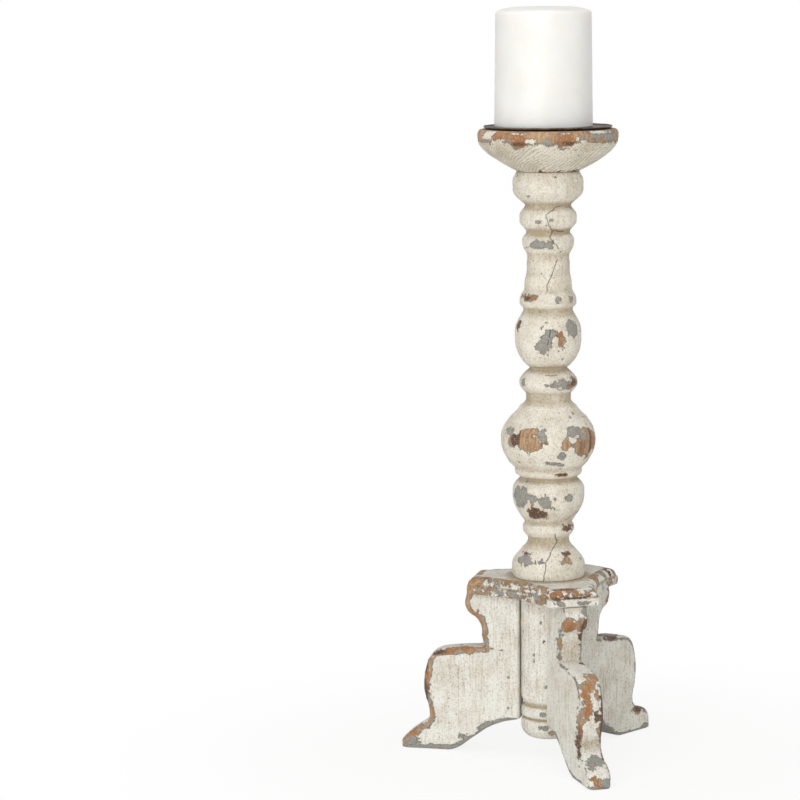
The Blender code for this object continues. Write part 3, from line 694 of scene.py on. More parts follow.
boardPaint = chalkPaintOnWood("chalk paint, sanded back on a sawn board", "board", 0.34)
postLow, postHigh = nodeBox("centre_post")
postLook["edgeWear"] = postWear
post = turnedPiece(
    "centre_post_turned", ("centre_post",), postLook["stations"], postLook, boardPaint,
    top=((postHigh[2], 4.3), (postHigh[2], 21.4)),
    bottom=((postLow[2], 14.2), (postLow[2], 11.0), (28.0, 11.0), (28.0, 4.3)), ring=True)

legLook = {
    "seed": 51, "rowsEach": 13, "flat": 46, "end": 24, "thick": 20.0,
    "round": 4.2,          # mm of hand-rounding along both faces' outer edges
    "roundInner": 2.6,
    "azimuths": {"front": -90.0, "right": 30.0, "left": 150.0},
    # Outer and inner point of each section, as distance from the stem axis and height
    "sections": (
        ((64.5, 130.4), (22.3, 130.4)), ((67.0, 121.5), (22.3, 120.0)), ((64.2, 113.6), (22.3, 113.0)),
        ((57.4, 109.0), (22.3, 108.0)), ((53.6, 102.0), (22.3, 101.5)), ((53.0, 95.0), (22.3, 95.0)),
        ((52.0, 87.5), (22.3, 86.0)), ((56.0, 85.8), (22.3, 79.0)), ((70.0, 84.6), (22.3, 68.0)),
        ((88.0, 81.8), (22.3, 54.0)), ((96.0, 75.5), (22.3, 45.0)), ((100.0, 64.6), (22.3, 36.0)),
        ((101.3, 53.3), (22.3, 28.4)), ((99.9, 42.9), (35.0, 25.0)), ((96.7, 32.6), (48.0, 19.6)),
        ((97.2, 25.0), (60.0, 11.0)), ((106.4, 17.8), (76.0, 0.8)), ((114.2, 11.8), (98.0, 0.0)),
        ((119.0, 7.0), (112.0, 0.0)), ((120.2, 3.6), (118.6, 0.0))),
    # Per leg: width of the bare band along the two faces' outlines, then marks as distance out,
    # across, height, their three half sizes and the kind. Across is positive anticlockwise.
    "band": {"front": (1.9, 1.4), "right": (2.3, 2.2), "left": (2.6, 4.6)},
    "endBand": {"front": 1.7, "right": 2.4, "left": 2.0},
    "archBand": 5.0, "toeRound": (112.5, 0.38), "blunt": {"front": 2.2, "right": 4.0, "left": 0.0},   # mm
    "marks": {
        "front": (
            (67, -6, 115, 9, 7, 7, "wood"), (67, -6, 115, 9, 6, 6, "stain"), (66, 5, 116, 9, 7, 7, "wood"),
            (66, 8, 113, 9, 4, 8, "dark"), (76, -3, 83.6, 11, 7, 4, "coat"),
            (60, -9, 98, 12, 1.6, 12, "wood"),
            (88, 4, 81, 9, 7, 3.5, "wood"), (97, 0, 76, 6, 9, 5, "wood"), (100, -4, 66, 9, 3.8, 15, "wood"),
            (100, -4, 66, 9, 3.6, 14, "stain"), (100, 5, 68, 8, 3.6, 7, "wood"),
            (100, 5, 68, 8, 3.0, 6, "stain"),
            (99, 9.6, 57, 8, 3.2, 22, "dark"), (99, 4, 53, 6, 2.4, 4, "dark"),
            (98, -9, 45, 6, 2.2, 16, "wood"),
            (97, -9.5, 30, 6, 1.6, 10, "dark"), (108, 0, 17, 9, 8, 6, "grey"), (112, 2, 13, 6, 4, 4, "coat"),
            (118, -3, 5, 6, 5, 5, "wood"), (118, -4, 5, 5, 4, 4, "stain"), (118, 4, 4, 6, 5, 4, "grey")),
        "right": (
            (72, -2, 84, 18, 10, 4, "dark"), (78, 0, 83, 12, 6, 4, "grey"), (84, -6, 82, 5, 3, 3, "coat"),
            (101, -8, 56, 4, 4, 24, "wood"), (117, -8, 7, 5, 4.5, 4, "wood"), (104, -8, 19, 8, 4, 3, "dark"),
            (60, 0, 13, 12, 9, 5, "grey"), (66, -9, 118, 5, 2.2, 9, "wood")),
        "left": (
            (66, 7, 118, 5, 5, 12, "wood"), (57, 9, 102, 5, 4, 12, "wood"), (72, 9, 84, 22, 4, 4, "wood"),
            (72, 9, 84, 14, 4, 4, "stain"), (101, 8, 60, 5, 5, 22, "wood"), (101, 9, 62, 5, 5, 9, "stain"),
            (101, 8, 68, 3.4, 5, 7, "dark"),
            (90, 8, 80.5, 7, 4, 2.4, "dark"), (56, 9, 96, 3, 4, 5, "dark"),
            (101, 8, 46, 4, 4, 10, "dark"), (98, 10, 34, 6, 4.2, 12, "wood"), (109, 8, 16, 10, 5, 5, "wood"),
            (109, 8, 16, 8, 4, 4, "stain"), (116, 9, 6, 6, 5, 5, "wood"), (60, 6, 13, 12, 5, 4, "grey"),
            (40, 9, 22, 12, 3, 3, "grey"), (112, 10, 6, 9, 4, 3, "grey"), (118, 10, 4, 3, 2, 2, "stain"))},
    "nails": ((31.0, 62.0), (31.0, 37.0)),
}


def smoothThrough(points, steps):
    # Catmull-Rom: a cubic through each pair whose slope at a point is half of next minus previous
    p = np.array(points, float)
    p = np.concatenate([2.0 * p[:1] - p[1:2], p, 2.0 * p[-1:] - p[-2:-1]])
    t = (np.arange(steps) / steps)[None, :, None]
    before, start, end, after = (p[i:len(p) - 3 + i][:, None, :] for i in range(4))
    curve = 0.5 * (2.0 * start + (end - before) * t + (2.0 * before - 5.0 * start + 4.0 * end - after) * t ** 2
                   + (3.0 * start - before - 3.0 * end + after) * t ** 3)
    return np.concatenate([curve.reshape(-1, p.shape[1]), p[-2:-1]])


def legPiece(name, azimuth, material):
    # A board: at each step from top to toe, a rounded rectangle spans the inner and the outer
    # point. The rounding is set in from the outline by its radius over the sine of the angle
    # between the section and the outline, so its true width stays even.
    look = legLook
    seed = look["seed"] + 10 * list(look["azimuths"]).index(name)
    outer = smoothThrough([pair[0] for pair in look["sections"]], look["rowsEach"])
    inner = smoothThrough([pair[1] for pair in look["sections"]], look["rowsEach"])
    # each toe was shaped by hand: some have a blunter, taller tip
    outer[:, 1] += look["blunt"][name] * easeStep(outer[:, 0], 101.0, 113.0) * easeStep(120.6 - outer[:, 0],
        0.0, 3.0)
    for edge in (outer, inner):
        edge[:, 0] = np.clip(edge[:, 0], 22.3, 120.0)
        edge[:, 1] = np.clip(edge[:, 1], 0.0, 130.4)
    across = outer - inner
    length = np.linalg.norm(across, axis=1)
    unit = across / length[:, None]

    def slant(edge):
        run = np.gradient(edge, axis=0)
        run = run / np.maximum(np.linalg.norm(run, axis=1), 1e-6)[:, None]
        sine = np.abs(unit[:, 0] * run[:, 1] - unit[:, 1] * run[:, 0])
        sine = np.convolve(np.pad(sine, 3, mode="edge"), np.ones(7) / 7.0, mode="valid")
        return np.clip(sine, 0.46, 1.0)

    sineOut, sineIn = slant(outer), slant(inner)
    half = look["thick"] / 2.0
    roundOut = np.minimum(look["round"] / sineOut, length * 0.3)
    roundIn = np.minimum(look["roundInner"] / sineIn, length * 0.3)
    # one ring: end face, corner, face, corner, back edge, and round again
    corner = np.linspace(0.0, np.pi / 2.0, 7)
    endSpan = np.linspace(-1.0, 1.0, look["end"])[1:-1]
    faceSpan = np.linspace(0.0, 1.0, look["flat"])[1:-1]
    u, v, sideOut, sideIn = [], [], [], []     # share of length, share of half, insets out and in
    u.append(np.ones(len(endSpan)))
    v.append(endSpan * (half - look["round"]))
    sideOut.append(np.zeros(len(endSpan)))
    sideIn.append(np.zeros(len(endSpan)))
    u.append(np.ones(7))
    v.append(half - look["round"] * (1.0 - np.sin(corner)))
    sideOut.append(1.0 - np.cos(corner))
    sideIn.append(np.zeros(7))
    u.append(1.0 - faceSpan)
    v.append(np.full(len(faceSpan), half))
    sideOut.append(1.0 - faceSpan)
    sideIn.append(faceSpan)
    u.append(np.zeros(7))
    v.append(half - look["roundInner"] * (1.0 - np.cos(corner)))
    sideOut.append(np.zeros(7))
    sideIn.append(1.0 - np.sin(corner))
    u.append(np.zeros(len(endSpan)))
    v.append(-endSpan * (half - look["roundInner"]))
    sideOut.append(np.zeros(len(endSpan)))
    sideIn.append(np.zeros(len(endSpan)))
    u.append(np.zeros(7))
    v.append(-half + look["roundInner"] * (1.0 - np.sin(corner)))
    sideOut.append(np.zeros(7))
    sideIn.append(1.0 - np.cos(corner))
    u.append(faceSpan)
    v.append(np.full(len(faceSpan), -half))
    sideOut.append(faceSpan)
    sideIn.append(1.0 - faceSpan)
    u.append(np.ones(7))
    v.append(-half + look["round"] * (1.0 - np.cos(corner)))
    sideOut.append(1.0 - np.sin(corner))
    sideIn.append(np.zeros(7))
    u, v, sideOut, sideIn = (np.concatenate(part)[None, :] for part in (u, v, sideOut, sideIn))
    reach = u * length[:, None] - sideOut * roundOut[:, None] + sideIn * roundIn[:, None]
    flatPoint = inner[:, None, :] + unit[:, None, :] * reach[..., None]
    toeStart, toeShare = look["toeRound"]
    pinch = np.clip((flatPoint[..., 0] - toeStart) / (120.0 - toeStart), 0.0, 1.0) ** 2 * toeShare
    lateral = v * (1.0 - pinch)      # the toe narrows in a curve towards its tip
    shape = reach.shape
    local3 = np.stack([flatPoint[..., 0], lateral, flatPoint[..., 1]], -1)
    normals = gridNormals(local3)

    fromOuter = (length[:, None] - reach) * sineOut[:, None]
    fromInner = reach * sineIn[:, None]
    onFace = easeStep(np.abs(lateral), half - 1.6, half - 0.2)
    bandWidth = np.where(lateral > 0.0, look["band"][name][1], look["band"][name][0])
    bandWidth = bandWidth * (1.0 + 0.35 * layeredNoise(local3, 16.0, seed + 3))
    onArch = (inner[:, :1] > 22.6) + np.zeros(shape) > 0.5
    faceWear = np.where(onArch, np.maximum(bandWidth - fromOuter, 0.7 - fromInner), bandWidth - fromOuter)
    endWear = look["endBand"][name] * np.where(lateral > 0.0, 1.0, 0.6) - (half - np.abs(lateral))
    edgeWear = np.where(u > 0.5, np.maximum(endWear, -3.6), -2.4) * (1.0 - onFace) + faceWear * onFace
    edgeWear = np.clip(edgeWear, -4.0, 3.5) - 0.2

    def inMark(mark):
        centre, sizes = np.array(mark[:3], float), np.array(mark[3:6], float)
        return (1.0 - np.linalg.norm((local3 - centre) / sizes, axis=-1)) * sizes.min()

    marks = [mark[:6] + (min(mark[3:6]), mark[6]) for mark in look["marks"][name]]
    rng = np.random.default_rng(seed)
    for step in range(9):
        row = rng.integers(0, len(outer))
        side = -half if name == "left" else half
        if name == "right" and step % 2:
            side = half * 0.6
        size = rng.uniform(1.5, 6.0)
        kind = rng.choice(["grey", "wood", "dark"])
        marks.append((outer[row, 0], side, outer[row, 1], size, size, size * 1.3, size, str(kind)))
    fields = wearFields(local3, inMark, marks, edgeWear, seed, 0.60, 0.7)
    # primer shows in a narrow margin inside the bare band and along the arch underneath
    arch = look["archBand"] * np.clip(0.75 + 0.9 * layeredNoise(local3, 24.0, seed + 9), 0.15, 1.2)
    margin = np.where(u < 0.5, 1.2, -2.0) * (1.0 - onFace) + (arch - fromInner) * onFace
    margin = np.maximum(np.where(onArch, margin, -4.0),
        (bandWidth + 0.8 - fromOuter) * onFace - 4.0 * (1.0 - onFace))
    margin = margin + layeredNoise(local3, 5.0, seed + 5, 4) * 2.0
    fields["primerLoss"] = np.where((margin > 0.0) & (fields["coatLoss"] < 0.2), -1.0, fields["primerLoss"])
    fields["coatLoss"] = np.maximum(fields["coatLoss"], np.clip(margin, -6.0, 3.0))
    # painted shade: darker in the notch and the neck recesses of the end face, and at the board's top under the
    # platform
    notch = easeStep(16.0 - np.hypot(local3[..., 0] - 50.0, local3[..., 2] - 94.0), 0.0,
        12.0) * (1.0 - onFace) * (u > 0.5)
    neck = easeStep(9.0 - np.hypot(local3[..., 0] - 96.0, local3[..., 2] - 30.0), 0.0,
        8.0) * (1.0 - onFace) * (u > 0.5)
    fields["hollow"] = np.clip(0.45 * notch + 0.7 * neck + easeStep(local3[..., 2], 124.0, 131.0) * 0.4,
        0.0, 1.0)
    fields["crackSide"], fields["crackReach"] = np.full(shape, 4.0), np.zeros(shape)
    for nailReach, nailHeight in look["nails"]:
        # a filled nail hole is a dark ring with a small dimple
        gap = np.hypot(local3[..., 0] - nailReach, local3[..., 2] - nailHeight)
        near = (gap < 5.0) & (lateral > half - 1.0)
        fields["crackSide"] = np.where(near, gap - 0.9, fields["crackSide"])
        fields["crackReach"] = np.where(near, 1.0, fields["crackReach"])
    # grain runs down the board, so its long axis is the height
    fields["woodPlace"] = local3 + np.array((0.0, 0.0, 200.0 * list(look["azimuths"]).index(name)))

    lift = layeredNoise(local3, 26.0, seed + 41) * 0.5 + layeredNoise(local3, 3.0, seed + 43, 2) * 0.08
    lift = lift - easeStep(fields["coatLoss"], -0.35, 0.35) * paintLook["coatThick"] * 0.7
    fade = easeStep(130.4 - local3[..., 2], 0.0, 1.5) * easeStep(local3[..., 0] - 22.3, 0.0,
        1.5) * easeStep(local3[..., 2], 0.0, 1.5)
    surface = local3 + normals * (lift * fade)[..., None]
    surface[..., 0] = np.clip(surface[..., 0], 22.3, 120.2)
    surface[..., 2] = np.clip(surface[..., 2], 0.0, 130.4)
    # flat caps: the first and the last ring shrink to their middles
    caps = [0.0, 0.35, 0.7, 0.93]
    middle = surface[:1].mean(axis=1, keepdims=True)
    toe = surface[-1:].mean(axis=1, keepdims=True)
    top = [middle + (surface[:1] - middle) * share for share in caps]
    bottom = [toe + (surface[-1:] - toe) * share for share in caps[::-1]]
    grid = np.concatenate(top + [surface] + bottom, 0)
    turn = math.radians(azimuth)
    spin = np.array(((math.cos(turn), math.sin(turn), 0.0), (-math.sin(turn), math.cos(turn), 0.0),
        (0.0, 0.0, 1.0)))
    grid = grid @ spin + np.array((stemAxis[0], stemAxis[1], 0.0))
    joined = {key: np.pad(values, ((4, 4), (0, 0)) + ((0, 0),) * (values.ndim - 2), mode="edge")
              for key, values in fields.items()}
    return settle(gridMesh(name + "_leg_board", grid, joined), "stand", ("leg_" + name,),
        material)


for legName, legAzimuth in legLook["azimuths"].items():
    legPiece(legName, legAzimuth, boardPaint)

platformLook = {
    "seed": 83, "short": 63.0, "hollowRadius": 127.8, "hollowCentre": 168.6, "under": 130.7, "top": 144.3,
    "upright": 7.0, "step": 1.0, "roundInset": 6.6, "azimuths": (-90.0, 30.0, 150.0),
    "arcPoints": 92, "shortPoints": 40,
    # bearing from the show side in degrees, distance from the axis, height, half sizes, kind
    # bearing, half width, how much
    "rubbed": ((-42, 46, 2.3), (100, 34, 2.0), (19.3, 22, 0.8), (-100, 24, 1.6), (200, 60, 1.0)),
    "marks": (
        (-82, 65, 142.5, 9, 7, 4.5, "wood"), (-82, 65, 143, 9, 7, 4, "stain"),
        (-100.7, 60, 142, 20, 5, 3.4, "wood"),
        (-73, 52, 143.4, 8, 2.5, 1.8, "wood"), (-70, 50.5, 143.6, 6, 1.6, 1.2, "dark"),
        (-62, 45, 140, 8, 3, 3, "grey"),
        (-63, 44, 135.5, 7, 4, 3, "grey"), (-48, 41, 142, 9, 3.5, 2.5, "wood"),
        (-40, 41, 136, 6, 4, 3, "grey"),
        (-30, 42, 140, 9, 4, 3, "wood"), (-20, 45, 142.5, 8, 4, 2.5, "wood"),
        (-14, 48, 137, 7, 4, 3.5, "grey"),
        (-8, 52, 142.8, 7, 4, 2.4, "wood"), (-5, 55, 138, 5, 4, 2, "wood"),
        (-55, 43, 138.5, 3, 4, 1.5, "coat"),
        (-44, 41, 139, 3, 4, 1.6, "coat"), (-34, 42, 137, 2.5, 4, 1.4, "coat"),
        (-25, 43, 139, 3, 4, 1.5, "coat"),
        (-16, 47, 140, 2.5, 4, 1.4, "coat"), (19.3, 59, 140.8, 24, 5, 3.4, "wood"),
        (19.3, 59, 141, 26, 5, 3.6, "stain"),
        (19.3, 62, 138.2, 23, 3, 0.9, "dark"), (14, 55.6, 144.2, 15, 1.2, 0.8, "dark"),
        (27, 62, 133.6, 5, 3, 1.4, "grey"),
        (8, 64, 134, 4, 3, 1.4, "grey"), (38, 62, 142, 7, 6, 4, "wood"), (50, 49, 143, 8, 4, 2.5, "grey"),
        (112, 56, 142.5, 12, 7, 4, "dark"), (121.7, 64, 141.5, 10, 7, 4.5, "wood"),
        (96, 44, 142.5, 10, 4, 3, "grey"),
        (139.3, 60, 142, 20, 5, 3, "wood"), (199, 41, 142, 14, 4, 3, "wood"),
        (240, 60, 141, 9, 6, 4, "wood")),
}


def platformOutline(inset):
    # Three straight short edges joined by three hollow arcs. An inset moves the edges in and
    # widens the arcs' radius.
    look = platformLook
    centre = np.array((math.cos(math.radians(60.0)), math.sin(math.radians(60.0)))) * look["hollowCentre"]
    reach, radius = look["short"] - inset, look["hollowRadius"] + inset
    corner = centre[1] - math.sqrt(radius ** 2 - (reach - centre[0]) ** 2)
    first = math.atan2(corner - centre[1], reach - centre[0])
    middle = math.radians(240.0) - 2.0 * math.pi
    angle = first + (middle - first) * 2.0 * np.arange(look["arcPoints"]) / look["arcPoints"]
    arc = centre + radius * np.stack([np.cos(angle), np.sin(angle)], -1)
    side = -corner + 2.0 * corner * np.arange(look["shortPoints"]) / look["shortPoints"]
    short = np.stack([np.full(len(side), reach), side], -1)
    third = np.concatenate([short, arc])
    sides = []
    for azimuth in look["azimuths"]:
        turn = math.radians(azimuth)
        spin = np.array(((math.cos(turn), math.sin(turn)), (-math.sin(turn), math.cos(turn))))
        sides.append(third @ spin)
    return np.concatenate(sides)


def platformPiece(material):
    # Rows run from the middle of the top, out to the arris, down the quarter round, the little step
    # and the upright edge, and back in under. Each row is the outline at its own inset.
    look = platformLook
    stepHeight = look["under"] + look["upright"]
    rise = look["top"] - stepHeight
    angle = np.linspace(np.pi / 2.0, 0.0, 16)
    insets = np.concatenate([look["step"] + look["roundInset"] * (1.0 - np.cos(angle)), [look["step"] * 0.5],
                             np.zeros(8)])
    heights = np.concatenate([stepHeight + rise * np.sin(angle), [stepHeight],
                              np.linspace(stepHeight, look["under"], 9)[1:] - 0.0])
    edge = np.stack([np.concatenate([platformOutline(inset),
        np.full((len(platformOutline(inset)), 1), height)], 1)
                     for inset, height in zip(insets, heights)])
    shares = np.linspace(0.0, 1.0, 34)[:-1, None, None]
    spread = np.array((1.0, 1.0, 0.0))
    topRows = edge[:1] * spread * shares + np.array((0.0, 0.0, look["top"]))
    underRows = edge[-1:] * spread * shares[::-1][::3] + np.array((0.0, 0.0, look["under"]))
    base = np.concatenate([topRows, edge, underRows], 0)
    for turnOnce in range(2):
        # hand-sanding: each point goes a third of the way to its neighbours' mean, round the rim
        around = (np.roll(base, 1, axis=1) + np.roll(base, -1, axis=1)) / 2.0
        base = base + (around - base) * 0.5
        inner = base[1:-1] + ((base[2:] + base[:-2]) / 2.0 - base[1:-1]) * 0.30
        base = np.concatenate([base[:1], inner, base[-1:]], 0)
    normals = gridNormals(base)
    out = np.hypot(base[..., 0], base[..., 1])
    bearing = np.degrees(np.arctan2(base[..., 1], base[..., 0])) - showSide
    bearing = (bearing + 180.0) % 360.0 - 180.0
    shape = out.shape

    def inMark(mark):
        turn = math.radians(mark[0] + showSide)
        radial = base[..., 0] * math.cos(turn) + base[..., 1] * math.sin(turn) - mark[1]
        along = base[..., 1] * math.cos(turn) - base[..., 0] * math.sin(turn)
        sized = np.sqrt((along / mark[3]) ** 2 + (radial / mark[4]) ** 2 + ((base[...,
            2] - mark[2]) / mark[5]) ** 2)
        return (1.0 - sized) * min(mark[3:6])

    marks = [mark[:6] + (min(mark[3:6]), mark[6]) for mark in look["marks"]]
    rows = np.arange(shape[0])[:, None] + np.zeros(shape)
    arris = len(topRows)
    onEdge = (rows >= arris - 1) & (rows < arris + len(edge))
    high = easeStep(base[..., 2], 139.0, 144.0)
    rubbed = sum(amount * easeStep(half - np.abs((bearing - middle + 180.0) % 360.0 - 180.0), 0.0, 8.0)
                 for middle, half, amount in look["rubbed"])
    wear = np.where(onEdge, rubbed - 2.4 + (1.8 * layeredNoise(base, 30.0, look["seed"] + 2) + 1.2) * high,
        -3.9)
    fields = wearFields(base, inMark, marks, wear, look["seed"], 0.62, 1.1)
    fields["crackSide"], fields["crackReach"] = np.full(shape, 4.0), np.zeros(shape)
    # painted shade along the ledge under the step, and round the foot of the stem on the top
    ledge = np.exp(-((base[..., 2] - stepHeight) / 0.7) ** 2) * onEdge
    collar = easeStep(38.0 - out, 0.0, 8.0) * (rows < arris)
    fields["hollow"] = np.clip(ledge * 1.2 + collar * 0.8, 0.0, 1.0)
    fields["woodPlace"] = base[..., (2, 1, 0)]      # the grain lies flat, across the board
    lift = layeredNoise(base, 24.0, look["seed"] + 41) * 0.35 + layeredNoise(base, 3.0, look["seed"] + 43,
        2) * 0.08
    lift = lift - easeStep(fields["coatLoss"], -0.35, 0.35) * paintLook["coatThick"] * 0.8
    still = (rows < arris) & (out < 33.0) | (rows >= arris + len(edge) - 1)
    surface = base + normals * (lift * ~still)[..., None]
    surface[..., 2] = np.clip(surface[..., 2], look["under"], look["top"])
    surface = surface + np.array((stemAxis[0], stemAxis[1], 0.0))
    return settle(gridMesh("platform_board", surface, fields), "stand", ("platform",),
        material)


platformPiece(boardPaint)

panLook = {
    "seed": 97, "columns": 300, "flat": 45.5, "rim": 50.2, "rimTop": 501.0, "sheet": 1.0,
    "screwHead": 4.4, "screwHole": 2.1,
    "wave": 0.22,                                    # mm the hand-turned rim wanders up and down
    # the rim's lighter colour is a painted highlight
    "metal": "#3A2A22", "rimHighlightColour": "#6B5A4C", "lacquer": "#1F1613",
}


def lacqueredIron():
    # Pressed iron sheet, dipped in dark lacquer: brown-black and half glossy, with a painted highlight
    # that lightens the rim, and small dull patches.
    material, tree, shader = newMaterial("iron sheet, dark lacquer")
    place = addNode(tree, "TexCoord").outputs["Object"]
    rub = addNode(tree, "Attribute", attribute_name="rimHighlight").outputs["Fac"]
    cloud = addNode(tree, "TexNoise", {"Vector": place, "Scale": 160.0, "Detail": 5.0, "Roughness": 0.65})
    highlit = addNode(tree, "Math", {0: cloud.outputs["Fac"], 1: rub}, operation="MULTIPLY")
    share = addNode(tree, "MapRange", {"Value": highlit.outputs[0], "From Min": 0.34, "From Max": 0.56})
    base = addNode(tree, "Mix", {0: cloud.outputs["Fac"], 6: linearColour(panLook["lacquer"]),
                                 7: linearColour(panLook["metal"])}, data_type="RGBA")
    colour = addNode(tree, "Mix", {0: share.outputs["Result"], 6: base.outputs[2],
                                   7: linearColour(panLook["rimHighlightColour"])}, data_type="RGBA")
    tree.links.new(colour.outputs[2], shader.inputs["Base Color"])
    rough = addNode(tree, "MapRange", {"Value": cloud.outputs["Fac"], "To Min": 0.34, "To Max": 0.6})
    tree.links.new(rough.outputs["Result"], shader.inputs["Roughness"])
    shader.inputs["Metallic"].default_value = 0.35
    bump = addNode(tree, "Bump", {"Height": cloud.outputs["Fac"], "Distance": 0.0001, "Strength": 0.5})
    tree.links.new(bump.outputs[0], shader.inputs["Normal"])
    return material


def panPiece():
    # One loop of outline points carried round the axis: screw dimple, floor, up the rim, over it
    # and back underneath. The rim's height wanders as a sum of three slow sines.
    look = panLook
    under = dishHigh[2] + 0.3
    floor, dimple = under + look["sheet"], look["screwHead"] - look["screwHole"]
    loop = [(look["screwHole"], floor - dimple)]
    loop += [(look["screwHead"], floor)] + [(reach, floor) for reach in np.linspace(8.0, look["flat"], 12)]
    turn = np.linspace(0.0, 1.0, 9)
    loop += [(look["flat"] + 3.8 * t, floor + (look["rimTop"] - floor - 0.3) * t ** 2.2) for t in turn[1:]]
    lip = np.linspace(np.pi, -0.2, 9)
    loop += [(look["rim"] - 0.5 + 0.5 * math.cos(a),
        look["rimTop"] - 0.35 + 0.35 * math.sin(a)) for a in lip]
    loop += [(look["flat"] + (look["rim"] - look["flat"]) * t,
        under + (look["rimTop"] - 0.9 - under) * t ** 2.4)
             for t in turn[::-1]]
    loop += [(reach, under) for reach in np.linspace(look["flat"] - 1.0, look["screwHead"], 12)]
    loop += [(look["screwHole"], under - dimple)]
    r, z = np.array(loop).T
    bearing = np.arange(look["columns"]) * 2.0 * np.pi / look["columns"]
    rimShare = easeStep(r, look["flat"] + 1.5, look["rim"])[:, None]
    wave = (np.sin(3.0 * bearing + 0.6) + 0.7 * np.sin(7.0 * bearing + 2.1) + 0.5 * np.sin(17.0 * bearing)) / 2.2
    height = z[:, None] + (wave[None, :] - 1.0) * look["wave"] * rimShare
    radius = r[:, None] + 0.0 * bearing[None, :]
    points = np.stack([stemAxis[0] + radius * np.cos(bearing), stemAxis[1] + radius * np.sin(bearing),
        height], -1)
    # rimShare also places the rim's painted highlight
    piece = gridMesh("drip_pan_sheet", points, {"rimHighlight": np.broadcast_to(rimShare, radius.shape)}, True)
    settle(piece, "stand", ("drip_pan",), lacqueredIron())


panPiece()

candleLook = {
    "seed": 113, "columns": 220, "side": 130, "dome": 44, "domeRise": 6.0, "foot": 38.5, "head": 37.6,
    "wickHole": 1.3, "wickDeep": 9.0,
    "wax": "#E4E3E0", "waxShade": "#DFDED9", "roughness": 0.42, "glow": 9.0,     # glow is mm of scattering
}


def castWax():
    # Paraffin cast in a smooth mould: ivory white, a soft inner glow that blurs small shadows, and
    # a faint cloudiness where it cooled.
    material, tree, shader = newMaterial("paraffin wax, cast")
    look = candleLook
    place = addNode(tree, "TexCoord").outputs["Object"]
    cloud = addNode(tree, "TexNoise", {"Vector": place, "Scale": 45.0, "Detail": 4.0, "Roughness": 0.6})
    share = addNode(tree, "MapRange", {"Value": cloud.outputs["Fac"], "From Min": 0.35, "From Max": 0.7})
    colour = addNode(tree, "Mix", {0: share.outputs["Result"], 6: linearColour(look["wax"]),
                                   7: linearColour(look["waxShade"])}, data_type="RGBA")
    tree.links.new(colour.outputs[2], shader.inputs["Base Color"])
    grain = addNode(tree, "TexNoise", {"Vector": place, "Scale": 320.0, "Detail": 3.0})
    rough = addNode(tree, "MapRange", {"Value": grain.outputs["Fac"], "To Min": look["roughness"] - 0.08,
                                       "To Max": look["roughness"] + 0.12})
    tree.links.new(rough.outputs["Result"], shader.inputs["Roughness"])
    bump = addNode(tree, "Bump", {"Height": grain.outputs["Fac"], "Distance": 0.0001, "Strength": 0.35})
    tree.links.new(bump.outputs[0], shader.inputs["Normal"])
    shader.inputs["Subsurface Weight"].default_value = 0.6
    shader.inputs["Subsurface Radius"].default_value = (1.0, 0.8, 0.6)
    shader.inputs["Subsurface Scale"].default_value = look["glow"] * mm
    shader.inputs["IOR"].default_value = 1.44
    return material


candleLow, candleHigh = nodeBox("candle")
candleAxis = (candleLow[:2] + candleHigh[:2]) / 2.0


def candlePiece():
    # A barely tapered cylinder under a low dome. The dome's outline is a superellipse: radius is
    # cosine to the power 0.55 and height is sine to the power 0.9.
    look = candleLook
    bottom, top = candleLow[2], candleHigh[2]
    spring = top - look["domeRise"]
    angle = np.linspace(np.pi / 2.0, 0.0, look["dome"] + 1)[1:]
    hole = [(0.0, top - look["wickDeep"]), (look["wickHole"], top - look["wickDeep"]),
            (look["wickHole"], top - 0.5), (look["wickHole"] + 0.5, top - 0.05)]
    r = list(look["head"] * np.cos(angle) ** 0.55)
    z = list(spring + look["domeRise"] * np.sin(angle) ** 0.9)
    keep = [(a, b) for a, b in zip(r, z) if a > look["wickHole"] + 1.5]
    side = [(look["head"] + (look["foot"] - look["head"]) * t, spring + (bottom + 1.2 - spring) * t)
            for t in np.linspace(0.0, 1.0, look["side"])[1:]]
    foot = [(look["foot"] - 1.2 * (1.0 - math.cos(a)), bottom + 1.2 - 1.2 * math.sin(a))
            for a in np.linspace(0.0, np.pi / 2.0, 6)[1:]]
    under = [(reach, bottom) for reach in (36.0, 30.0, 20.0, 10.0, 0.0)]
    r, z = np.array(hole + keep + side + foot + under).T
    turn = np.arange(look["columns"]) * 2.0 * np.pi / look["columns"]
    base = np.stack([candleAxis[0] + r[:, None] * np.cos(turn), candleAxis[1] + r[:, None] * np.sin(turn),
                     z[:, None] + 0.0 * turn], -1)
    softness = easeStep(r, 4.0, 20.0) * easeStep(z, bottom, bottom + 2.0)
    lift = (layeredNoise(base, 34.0, look["seed"]) - 0.6) * 0.22 * softness[:, None]
    surface = base + gridNormals(base) * lift[..., None]
    surface[..., 2] = np.clip(surface[..., 2], bottom, top)
    piece = gridMesh("pillar_candle", surface, {})
    return settle(piece, "candle", ("candle",), castWax())


candlePiece()

wickLook = {"columns": 18, "rows": 90, "strands": 3, "lay": 5.0, "cotton": "#E9E2D0",
    "cottonShade": "#CFC4AA"}


def waxedCotton():
    # Braided cotton dipped in wax: off-white cord with darker lines between its strands.
    material, tree, shader = newMaterial("waxed cotton, braided")
    strand = addNode(tree, "Attribute", attribute_name="strand").outputs["Fac"]
    colour = addNode(tree, "Mix", {0: strand, 6: linearColour(wickLook["cottonShade"]),
                                   7: linearColour(wickLook["cotton"])}, data_type="RGBA")
    tree.links.new(colour.outputs[2], shader.inputs["Base Color"])
    shader.inputs["Roughness"].default_value = 0.8
    return material


